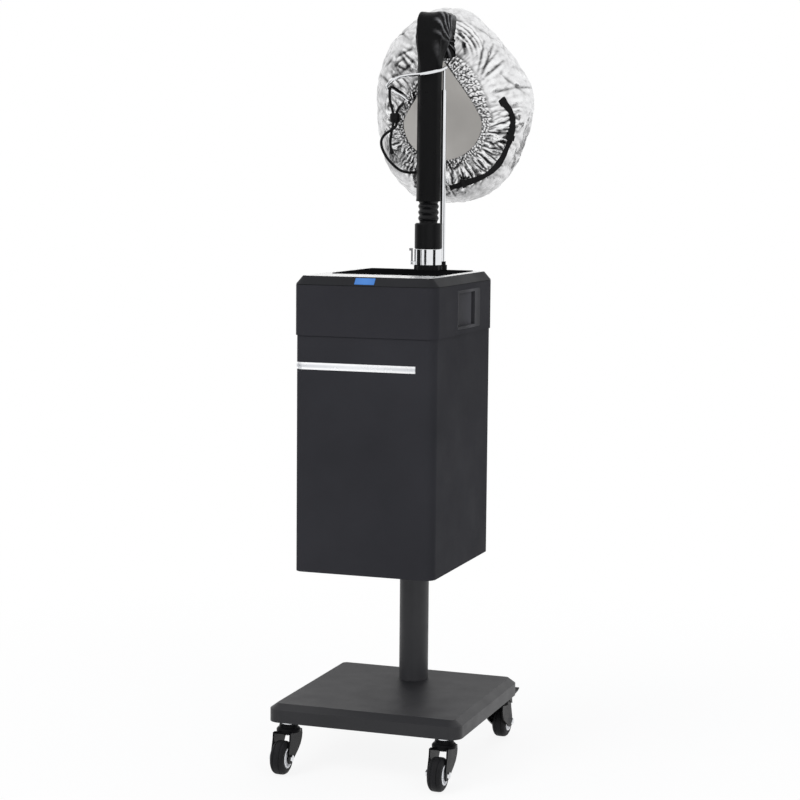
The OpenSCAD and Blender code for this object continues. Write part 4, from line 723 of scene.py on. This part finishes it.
class Foil:
    """The foil's grid, rows `s` mm from the opening and columns at the angles `q`, with its folds."""

    def __init__(self):
        total = bonnet_stations()[0][-1]
        near = np.arange(1.2, 96, 1.4)
        rest = near[-1] + (total - 6 - near[-1]) * np.linspace(0, 1, 60)[1:]
        at = np.concatenate([[0.0], near, rest])
        self.grid, q = bonnet_grid(at, FOIL_COLS)
        self.x, self.z = self.grid[..., 0], self.grid[..., 2]
        self.s, self.q = at[:, None], q[None, :]
        self.front = self.grid[..., 1] < MOUTH_BACK + 0.5 * BONNET_D
        self.warp = sum(a * np.sin(k * self.q + f) for k, a, f in WARP)
        wide_rim = bumps(self.q, *RIM_WIDTH)
        self.in_rim = 1 - steps(self.s, wide_rim - 3, wide_rim + 3)
        self.past = self.s - wide_rim
        self.out = steps(self.past, 0, 40)
        self.fade = 1 - steps(self.s, total - 60, total - 4)
        self.rim = self.rim_folds()
        self.pleats = bumps(self.q, *PLEATS) * self.gathers()
        self.long = self.drawn(30, 70, steps(self.s, total - 40, total - 6), 1.5, 27.0, 80.0, 7)
        self.body = self.crumples()
        self.lines = crease_depth(self.x, self.z) * self.front
        self.arcs = self.elbow_arcs()

    def facets(self, size, seed, upright=1):
        points = self.grid.reshape(-1, 3) * np.array((1, 1, upright))
        return crumple(points, 1 / size, seed).reshape(self.x.shape)

    def drawn(self, start, end, over, height, wide, long, seed):
        """Facets `wide` by `long` mm that set in past the rim and fade where `over` rises."""
        flat, ring = 0 * self.s, RIM_RING / wide
        points = [ring * np.cos(self.q) + flat, ring * np.sin(self.q) + flat, self.s / long + 0 * self.q]
        facets = crumple(np.stack(points, -1).reshape(-1, 3), 1.0, seed).reshape(self.x.shape)
        return steps(self.past, start, end) * (1 - over) * height * facets

    def rim_folds(self):
        """Small facets and close pleats of the gathered rim."""
        close = pointed(RIM_PLEATS * self.q + 12 * self.warp + 0.25 * self.s)
        return self.in_rim * (2.8 * self.facets(5.6, 3) + 1.5 * self.facets(3.0, 4) + 0.8 * close + 0.6)

    def gathers(self):
        """Pleats: close together at the rim, fewer and wider further out."""
        close = self.drawn(-4, 4, steps(self.past, 12, 26), 2.8, 7.0, 20.0, 5)
        return close + self.drawn(0, 10, steps(self.past, 26, 50), 5.2, 10.5, 36.0, 6)

    def crumples(self):
        """Large, middle and small facets over the bag."""
        facets = 3.4 * self.facets(58.0, 1, 0.8) + 1.6 * self.facets(22.0, 2) + 0.5 * self.facets(9.0, 8)
        return self.out * facets * (0.35 + 0.65 * self.fade)

    def elbow_arcs(self):
        """Arcs of foil pulled up round the elbow."""
        across, up = ELBOW_AT
        away = np.hypot(self.x - across, self.z - up)
        turn = np.degrees(np.arctan2(self.z - up, self.x - across))
        where = self.front * np.exp(-((turn - 44) / 30) ** 2)
        where = where * steps(away, 38, 44) * (1 - steps(away, 62, 78))
        return where * 2.8 * pointed(away * 2 * math.pi / 7.5 + 0.05 * turn + 1.5 * self.warp)

    def raised(self):
        """The grid with its folds."""
        waves = 3.0 * np.sin(3 * self.q + 0.02 * self.s + 0.5)
        waves = waves + 2.0 * np.sin(5 * self.q - 0.015 * self.s + 2.0)
        soft = self.out * self.fade * waves
        folds = self.pleats + self.long + self.rim + self.body + soft + self.arcs
        height = np.minimum(folds - 4.0 * self.out, HIGHEST) - self.lines
        normals = -grid_normals(self.grid)
        normals[0] = normals[1]
        return self.grid + normals * height[..., None]

    def tone(self):
        """Painted shade of the folds: dark in the narrow valleys, pale on the open faces, with painted patches
        of light and shade on the front.
        """
        fold = 0.75 + 0 * self.x
        for x0, z0, a, b, change in SHADES:
            spot = np.exp(-((self.x - x0) / a) ** 2 - ((self.z - z0) / b) ** 2)
            fold = fold + change * spot * self.front
        left, wide, up, tall = SWIRL
        swirl = np.exp(-((self.x + left) / wide) ** 2 - ((self.z - up) / tall) ** 2) * self.front
        behind = steps(self.grid[..., 1], MOUTH_BACK + 0.35 * BONNET_D, MOUTH_BACK + 0.6 * BONNET_D)
        # Painted shade in the valleys and painted light on the ridges of rim, pleats, arcs, facets and
        # crumples, stronger on the back
        fold = fold + 0.85 * hollow(self.rim, 2, 3) + 0.50 * hollow(self.pleats + self.arcs, 2, 4)
        fold = fold + 0.10 * hollow(self.pleats + self.long, 8, 14)
        fold = fold + (0.22 + 0.45 * behind) * hollow(self.long, 3, 4) - 0.03 * behind
        fold = fold + (0.16 + 0.5 * swirl + 0.26 * behind) * hollow(self.body, 3, 4)
        # Painted shade along the long creases, and on the rim at the angles of RIM_SHADE
        fold = fold - 0.20 * hollow(self.lines, 3, 4) - 0.13 * self.lines
        return np.clip(fold - self.in_rim * bumps(self.q, *RIM_SHADE), 0, 1)

    def roll(self):
        """Rows from inside to the rim, where the foil rolls back into the opening."""
        pleats = pointed(RIM_PLEATS * self.q[0] + 12 * self.warp[0])
        rows = []
        for back, into, share in ROLL:
            row = self.grid[0].copy()
            d = row - np.array((MOUTH_U, 0, MOUTH_Z))
            d[:, 1] = 0
            d /= np.linalg.norm(d, axis=1)[:, None]
            row = row - d * (into + share * pleats[:, None])
            row[:, 1] += back
            rows.append(row)
        return np.array(rows)


def make_lining(mat):
    """A smooth bag inside the foil, gathered at its edge."""
    total = bonnet_stations()[0][-1]
    at = np.concatenate([[2.0], np.linspace(10, total - 14, 60)])
    grid, q = bonnet_grid(at, LINING_COLS)
    normals = -grid_normals(grid)
    normals[0] = normals[1]
    depth = 4.6 + 2.5 * steps(at, 10, 40)[:, None] + 4.5 * steps(at, 40, 90)[:, None]
    depth = depth + 3.6 * (1 - steps(at, 2, 26))[:, None] * pointed(RIM_PLEATS * q)[None, :]
    grid = grid - normals * depth[..., None]
    grid[0, :, 1] += 9
    grid[1, :, 1] += 4
    return closed_bag("bonnet_lining", grid, mat, False)


def make_bonnet(m):
    """The foil and its lining; gives the foil as a tree for rays, in the bonnet's own frame."""
    foil = Foil()
    inner = foil.roll()
    full = np.concatenate([inner, foil.raised()])
    skin = closed_bag("bonnet_foil", full, m["foil"], True)
    # Painted shade: the rows that roll into the opening a flat 0.6 and the bag's tip 0.8
    shade = np.concatenate([np.full(inner.shape[:2], 0.6), foil.tone()])
    store_painted_shading(skin, np.append(shade.reshape(-1), 0.8))
    bag = make_lining(m["lining"])
    for o in (skin, bag):
        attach(o, "lift")
    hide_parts("bonnet")
    return BVHTree.FromPolygons([Vector(p) for p in full.reshape(-1, 3)], quads(*full.shape[:2]))


# Sleeve

SLEEVE_COLS = 120
# The elbow's top is pressed flat against this height, in millimetres
SLEEVE_ROOF = 1252.5
# Edge of the skirt from its centre, as degrees above the horizontal and millimetres outwards
SKIRT_EDGE = [
    (-92, 30), (-78, 36), (-66, 44), (-56, 50), (-48, 49), (-40, 42), (-25, 34), (-8, 31), (8, 31), (22, 32),
    (35, 34), (50, 38), (62, 42), (74, 38), (88, 30)]
SKIRT_AT = (10.0, 1214.0)
SKIRT_TURNS, SKIRT_RINGS, SKIRT_INNER = 150, 26, 12


def sleeve_path():
    """Rings of the sleeve from its foot to the bonnet: back, up, angle of the bend and radius."""
    rows = []
    heights = [SLEEVE_LOW, SLEEVE_LOW + 5, SLEEVE_TOP, SLEEVE_TOP + 14, SLEEVE_BEND_Z - 6, SLEEVE_BEND_Z]
    radii = [SLEEVE_R + 0.5, SLEEVE_R, SLEEVE_R, SLEEVE_R + 0.8, COLLAR_R - 0.6, COLLAR_R]
    for z in np.linspace(SLEEVE_LOW, SLEEVE_BEND_Z, 60):
        rows.append((0.0, z, 0.0, np.interp(z, heights, radii)))
    for v in np.linspace(0, math.pi / 2, 36)[1:]:
        rows.append((BEND_R * (1 - math.cos(v)), SLEEVE_BEND_Z + BEND_R * math.sin(v), v, COLLAR_R))
    for x in np.linspace(0, SLEEVE_RUN, 8)[1:]:
        rows.append((BEND_R + x, SLEEVE_BEND_Z + BEND_R, math.pi / 2, COLLAR_R))
    return rows


def sleeve_ring(y, z, v, r):
    """One ring of the draped cloth, and the painted sheen on its crease ridges."""
    q = circle(SLEEVE_COLS)
    front, right = np.maximum(0, -np.sin(q)), steps(np.cos(q), 0.1, 0.8)
    high = float(steps(np.array(z), SLEEVE_TOP - 20, SLEEVE_BEND_Z + 10))
    bend = steps(np.array(v), 0.0, 0.5) * (1 - 0.4 * steps(np.array(v), 1.1, 1.57))
    drape = 0.35 * np.sin(5 * q + 0.01 * z) + 0.25 * np.sin(9 * q + 1.7 - 0.006 * z)
    pinch = np.maximum(0, np.sin(q)) ** 1.5 * (1 + np.cos(v * 22)) * 1.5 * bend
    crease = np.sin(16 * v + 5 * np.sin(q) + 0.10 * z)
    wrinkle = high * crease * (0.5 + 1.0 * right) * (1 - 0.6 * front) + 0.5 * high * np.sin(7 * q + 0.09 * z)
    p = r + drape * (0.6 + high) - pinch + wrinkle
    # Painted sheen on the crease ridges, strongest on the elbow's right side
    pale = np.clip(crease - 0.40, 0, 1) * right * high * (0.25 + 0.75 * bend) * 1.1
    # the elbow widens and its outer side stands square, as cloth folded over a seam
    square = 2 - 1.15 * high
    wide = 1 + high * np.where(np.cos(q) > 0, ELBOW_W / COLLAR_R - 1, ELBOW_LEFT / COLLAR_R - 1)
    corner = abs(math.cos(v)) ** ELBOW_SQUARE + abs(math.sin(v)) ** ELBOW_SQUARE
    away = p + front * (BEND_R + p) * (corner ** (-1 / ELBOW_SQUARE) - 1)
    out = powered(np.sin(q), square / 2)
    x = p * (powered(np.cos(q), square / 2) * wide)
    back = y + away * out * math.cos(v)
    up = z - away * out * math.sin(v)
    up = np.minimum(up, SLEEVE_ROOF + 0.03 * (up - SLEEVE_ROOF))
    c, s = math.cos(-ELBOW_TURN), math.sin(-ELBOW_TURN)
    return np.stack([x * c - back * s, x * s + back * c, up], 1), pale


def make_sleeve(m, foil_tree):
    """The sleeve as draped nylon: straight fall, a square folded elbow and the run into the bonnet."""
    rings, pale = zip(*(sleeve_ring(*row) for row in sleeve_path()))
    outer, pale = np.array(rings), np.array(pale)
    inner = outer - grid_normals(outer) * 0.8
    shell = np.concatenate([inner[::-1], outer[:1] + (0, 0, -0.5), outer])
    faces = grid_faces(len(shell) + 1, SLEEVE_COLS) % (len(shell) * SLEEVE_COLS)
    sleeve = add_mesh("sleeve_cloth", [local(*p) for p in shell.reshape(-1, 3)], faces, m["cloth"])
    # The painted sheen is stored on the outer cloth only
    store_painted_shading(sleeve, np.concatenate([0 * pale, 0 * pale[:1], pale]).reshape(-1))
    skirt = sleeve_skirt(m["cloth"], foil_tree)
    for o in (sleeve, skirt):
        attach(o, "lift")
    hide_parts("sleeve")


def skirt_row(deg, foil_tree):
    """One line of the skirt outwards over the foil, and the painted sheen on its gathers."""
    a = math.radians(deg)
    angles, reaches = zip(*SKIRT_EDGE)
    reach = float(np.interp(deg, angles, reaches)) + 0.9 * math.sin(15 * a) + 0.8 * math.sin(37 * a + 1)
    row, pale = [], []
    for k in range(SKIRT_RINGS):
        t = k / (SKIRT_RINGS - 1)
        r = SKIRT_INNER + (max(reach, SKIRT_INNER + 1) - SKIRT_INNER) * t
        turned = a + 0.22 * (1 - t) * math.sin(5 * a)
        u, z = SKIRT_AT[0] + r * math.cos(turned), SKIRT_AT[1] + r * math.sin(turned)
        hit = foil_tree.ray_cast(Vector((u, -60, z)), Vector((0, 1, 0)))[0]
        gather = math.sin(26 * a + 2.2 * math.sin(4 * a) + 1.4 * t)
        lift = 1.6 + 1.7 * (1 + gather) * (0.25 + t) * (1 - 0.55 * t)
        row.append((u, (hit.y if hit else 52) - max(0.5, lift), z))
        # Painted sheen on the ridges of the gathers
        pale.append(max(0.0, gather - 0.45) * 1.6 * (0.2 + 0.8 * math.sin(math.pi * min(1, t * 1.1))))
    return row, pale


def sleeve_skirt(mat, foil_tree):
    """Black cloth gathered over the joint of sleeve and foil, from the elbow's top right down to the rim."""
    turns, rings = SKIRT_TURNS, SKIRT_RINGS
    rows, pale = zip(*(skirt_row(86 - 174 * i / (turns - 1), foil_tree) for i in range(turns)))
    g = np.array(rows)
    for _ in range(2):
        g[1:-1, :, 1] = 0.5 * g[1:-1, :, 1] + 0.25 * (g[2:, :, 1] + g[:-2, :, 1])
    back = g + (0, 0.7, 0)
    edge = rings * turns
    faces = quads(turns, rings, closed=False)
    faces += [tuple(v + edge for v in reversed(f)) for f in faces]
    for i in range(turns - 1):
        a, b = i * rings + rings - 1, (i + 1) * rings + rings - 1
        faces.append((a, b, b + edge, a + edge))
        a, b = i * rings, (i + 1) * rings
        faces.append((b, a, a + edge, b + edge))
    points = np.vstack([g.reshape(-1, 3), back.reshape(-1, 3)])
    skirt = add_mesh("sleeve_skirt", [local(*p) for p in points], faces, mat)
    store_painted_shading(skirt, np.tile(np.array(pale).reshape(-1), 2))
    return skirt


# CAD nodes

# Each material with its nodes; all others are moulded black
LOOKS = {
    "base": ["base_cover"], "post": ["post"], "cabinet": ["body_shell"], "band": ["top_band"],
    "lid": ["lid"], "silver": ["deck_rim"], "deck": ["fill_flap", "outlet_plate"], "strip": ["front_strip"],
    "grip": ["side_grips"], "display": ["display_window"], "board": ["control_board"], "key": ["start_key"],
    "panel": ["rear_panel"], "red": ["power_rocker"], "blue_cap": ["tank_cap"],
    "tank": ["water_tank", "feed_pipes"], "copper": ["heating_element"], "latch": ["latch_lever"],
    "hose": ["ribbed_hose"], "sheet": ["base_plate", "chassis_floor", "tank_shelf", "steam_pipe"],
    "steel": ["base_bolts", "cabinet_screws", "boiler"],
    "chrome": ["caster_stems", "flap_pin", "outlet_socket", "mast_tube", "mast_rod"]
    + ["axle_" + end for end in CORNERS],
    "fork": ["fork_" + end for end in CORNERS], "tyre": ["wheel_" + end for end in CORNERS]}


def finish_nodes(m):
    looks = {node: name for name, nodes in LOOKS.items() for node in nodes}
    for node, o in NODES.items():
        o.data.materials.clear()
        o.data.materials.append(m[looks.get(node, "plastic")])


# Casters

# Outer halves of the tyre's and the hub's profile: radius, and how far it stands out past the wheel's width
TREAD = [
    (HUB_R + 1.2, 0), (HUB_R + 3, 0.2), (WHEEL_R - 5, -0.6), (WHEEL_R - 2.2, -2.4), (WHEEL_R - 0.7, -4.6),
    (WHEEL_R - 0.2, -6.2), (WHEEL_R - 1.3, -6.6), (WHEEL_R - 1.3, -7.4), (WHEEL_R - 0.1, -7.8),
    (WHEEL_R, -10)]
HUB_FACE = [
    (HUB_R + 1.0, -1.8), (HUB_R + 0.6, 0.3), (HUB_R - 0.6, 0.9), (HUB_R - 2.2, 0.4), (HUB_R - 3.4, -1.6),
    (9.4, -2.4), (8.4, 0.6), (5.2, 1.0), (3.1, 1.0)]
# One side of the tyre's seat on the hub
SEAT = [(HUB_R - 2, -2.5)]


def mirrored(half):
    """The half profile, placed at the wheel's side, and its mirror image."""
    side = [(r, WHEEL_W / 2 + x) for r, x in half]
    return side + [(r, -x) for r, x in reversed(side)]


def revolved(name, centre, profile, mat, cols=72):
    """A ring of the profile (radius and place along X, in mm) round the X axis at `centre`."""
    q = circle(cols)
    rows = [np.stack([centre.x + x * MM + 0 * q, centre.y + r * MM * np.cos(q),
                      centre.z + r * MM * np.sin(q)], 1) for r, x in profile]
    faces = grid_faces(len(rows) + 1, cols) % (len(rows) * cols)
    return add_mesh(name, np.vstack(rows), faces, mat)


def make_wheels(m):
    """Each wheel as a rubber tyre with two grooves, on a pale hub with a raised ring and a bearing seat."""
    for end in CORNERS:
        low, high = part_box("wheel_" + end)
        middle = (Vector(low) + Vector(high)) / 2
        rubber = revolved("tyre_" + end, middle, mirrored(TREAD) + mirrored(SEAT)[::-1], m["tyre"])
        pale = revolved("hub_" + end, middle, mirrored(HUB_FACE), m["hub"])
        for o in (rubber, pale):
            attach(o, "wheel_" + end)
        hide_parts("wheel_" + end)


# Stage

# Dark cards: name, place across and back, turn in degrees, width and height of the top, in metres
FLAGS = [
    ("flag_left", -1.5, -0.55, -70, 1.3, 1.0), ("flag_right", 1.7, -0.45, 72, 0.75, 1.0),
    ("flag_front", -0.12, -1.75, -4, 0.62, 1.0), ("flag_back", -1.0, 2.9, 200, 1.0, 1.0),
    ("flag_side", 1.5, 3.3, 156, 3.0, 0.55), ("flag_high", -2.2, -2.6, -40, 0.35, 3.2)]
FLAG_FOOT = 0.05
# Lamps: name, place, what it points at, size in metres and power in watts
LAMPS = [
    ("key", (-1.6, -2.6, 2.9), (0, 0, 0.8), 1.8, 62), ("fill", (2.6, -2.2, 2.0), (0, 0, 0.7), 1.6, 28),
    ("back", (0.4, 2.8, 2.6), (0, 0, 0.9), 1.8, 36)]
FLOOR_HALF = 9


def mix_shaders(t, share, first, second, out):
    """Links two shaders to the output, mixed by the share."""
    mix = add_node(t, "ShaderNodeMixShader")
    t.links.new(share, mix.inputs["Fac"])
    t.links.new(first.outputs[0], mix.inputs[1])
    t.links.new(second.outputs[0], mix.inputs[2])
    t.links.new(mix.outputs[0], out.inputs["Surface"])


def seen_directly(t):
    """1 for camera, glossy and transmission rays."""
    path = add_node(t, "ShaderNodeLightPath")
    total = path.outputs["Is Camera Ray"]
    for name in ("Is Glossy Ray", "Is Transmission Ray"):
        n = add_node(t, "ShaderNodeMath", operation="MAXIMUM")
        t.links.new(total, n.inputs[0])
        t.links.new(path.outputs[name], n.inputs[1])
        total = n.outputs[0]
    return total


def studio_world():
    """White to the camera and in reflections, and a soft bluish light on everything."""
    world = bpy.data.worlds.new("studio")
    world.use_nodes = True
    t = world.node_tree
    t.nodes.clear()
    light = add_node(t, "ShaderNodeBackground", Color=(0.93, 0.95, 1, 1), Strength=0.55)
    white = add_node(t, "ShaderNodeBackground", Color=(1, 1, 1, 1))
    mix_shaders(t, seen_directly(t), light, white, add_node(t, "ShaderNodeOutputWorld"))
    return world


def floor_paint():
    """White floor that keeps a soft shadow: mostly its own white to the camera, with some of the light's."""
    m = bpy.data.materials.new("floor_white")
    m.use_nodes = True
    t = m.node_tree
    t.nodes.clear()
    matt = add_node(t, "ShaderNodeBsdfDiffuse", Color=(0.9, 0.9, 0.9, 1))
    glow = add_node(t, "ShaderNodeEmission", Strength=1)
    where = add_node(t, "ShaderNodeTexCoord")
    far = add_node(t, "ShaderNodeVectorMath", operation="LENGTH")
    t.links.new(where.outputs["Object"], far.inputs[0])
    spread = add_node(t, "ShaderNodeMapRange", From_Min=0.3, From_Max=1.5, To_Min=0.88, To_Max=1.0)
    t.links.new(far.outputs["Value"], spread.inputs["Value"])
    share = add_node(t, "ShaderNodeMath", operation="MULTIPLY")
    t.links.new(seen_directly(t), share.inputs[0])
    t.links.new(spread.outputs["Result"], share.inputs[1])
    mix_shaders(t, share.outputs[0], matt, glow, add_node(t, "ShaderNodeOutputMaterial"))
    return m


def card(name, first, opposite, mat):
    """A flat card, lying or standing, between two opposite corners."""
    (x0, y0, z0), (x1, y1, z1) = first, opposite
    corners = [(x0, y0, z0), (x1, y0, z0), (x1, y1, z1), (x0, y1, z1)]
    return add_mesh(name, corners, [(0, 1, 2, 3)], mat, False)


def dark_flag(mat, name, x, y, turn, width, top):
    """A tall dark card that only reflections see, as studios use to draw dark edges in chrome."""
    o = card(name, (-width / 2, 0, FLAG_FOOT), (width / 2, 0, top), mat)
    o.location = (x, y, 0)
    o.rotation_euler = (0, 0, math.radians(turn))
    o.visible_camera = o.visible_diffuse = o.visible_shadow = o.visible_transmission = False


def area_light(name, place, aim, size, watts):
    light = bpy.data.lights.new(name, "AREA")
    light.shape, light.size, light.energy = "SQUARE", size, watts
    o = add_object(name, light)
    o.location = place
    o.visible_glossy = False
    o.rotation_euler = (Vector(aim) - Vector(place)).to_track_quat("-Z", "Y").to_euler()


def make_stage():
    bpy.context.scene.view_settings.view_transform = "Standard"
    bpy.context.scene.world = studio_world()
    floor = card("floor", (-FLOOR_HALF, -FLOOR_HALF, 0), (FLOOR_HALF, FLOOR_HALF, 0), floor_paint())
    dark = Paint("flag_dark", (0.01, 0.01, 0.01), 1.0).m
    for flag in FLAGS:
        dark_flag(dark, *flag)
    for lamp in LAMPS:
        area_light(*lamp)


make_camera()
MATS = {**case_paints(), **small_paints(), **metal_paints(), **soft_paints()}
make_cords(MATS)
finish_nodes(MATS)
make_sleeve(MATS, make_bonnet(MATS))
make_wheels(MATS)
make_stage()
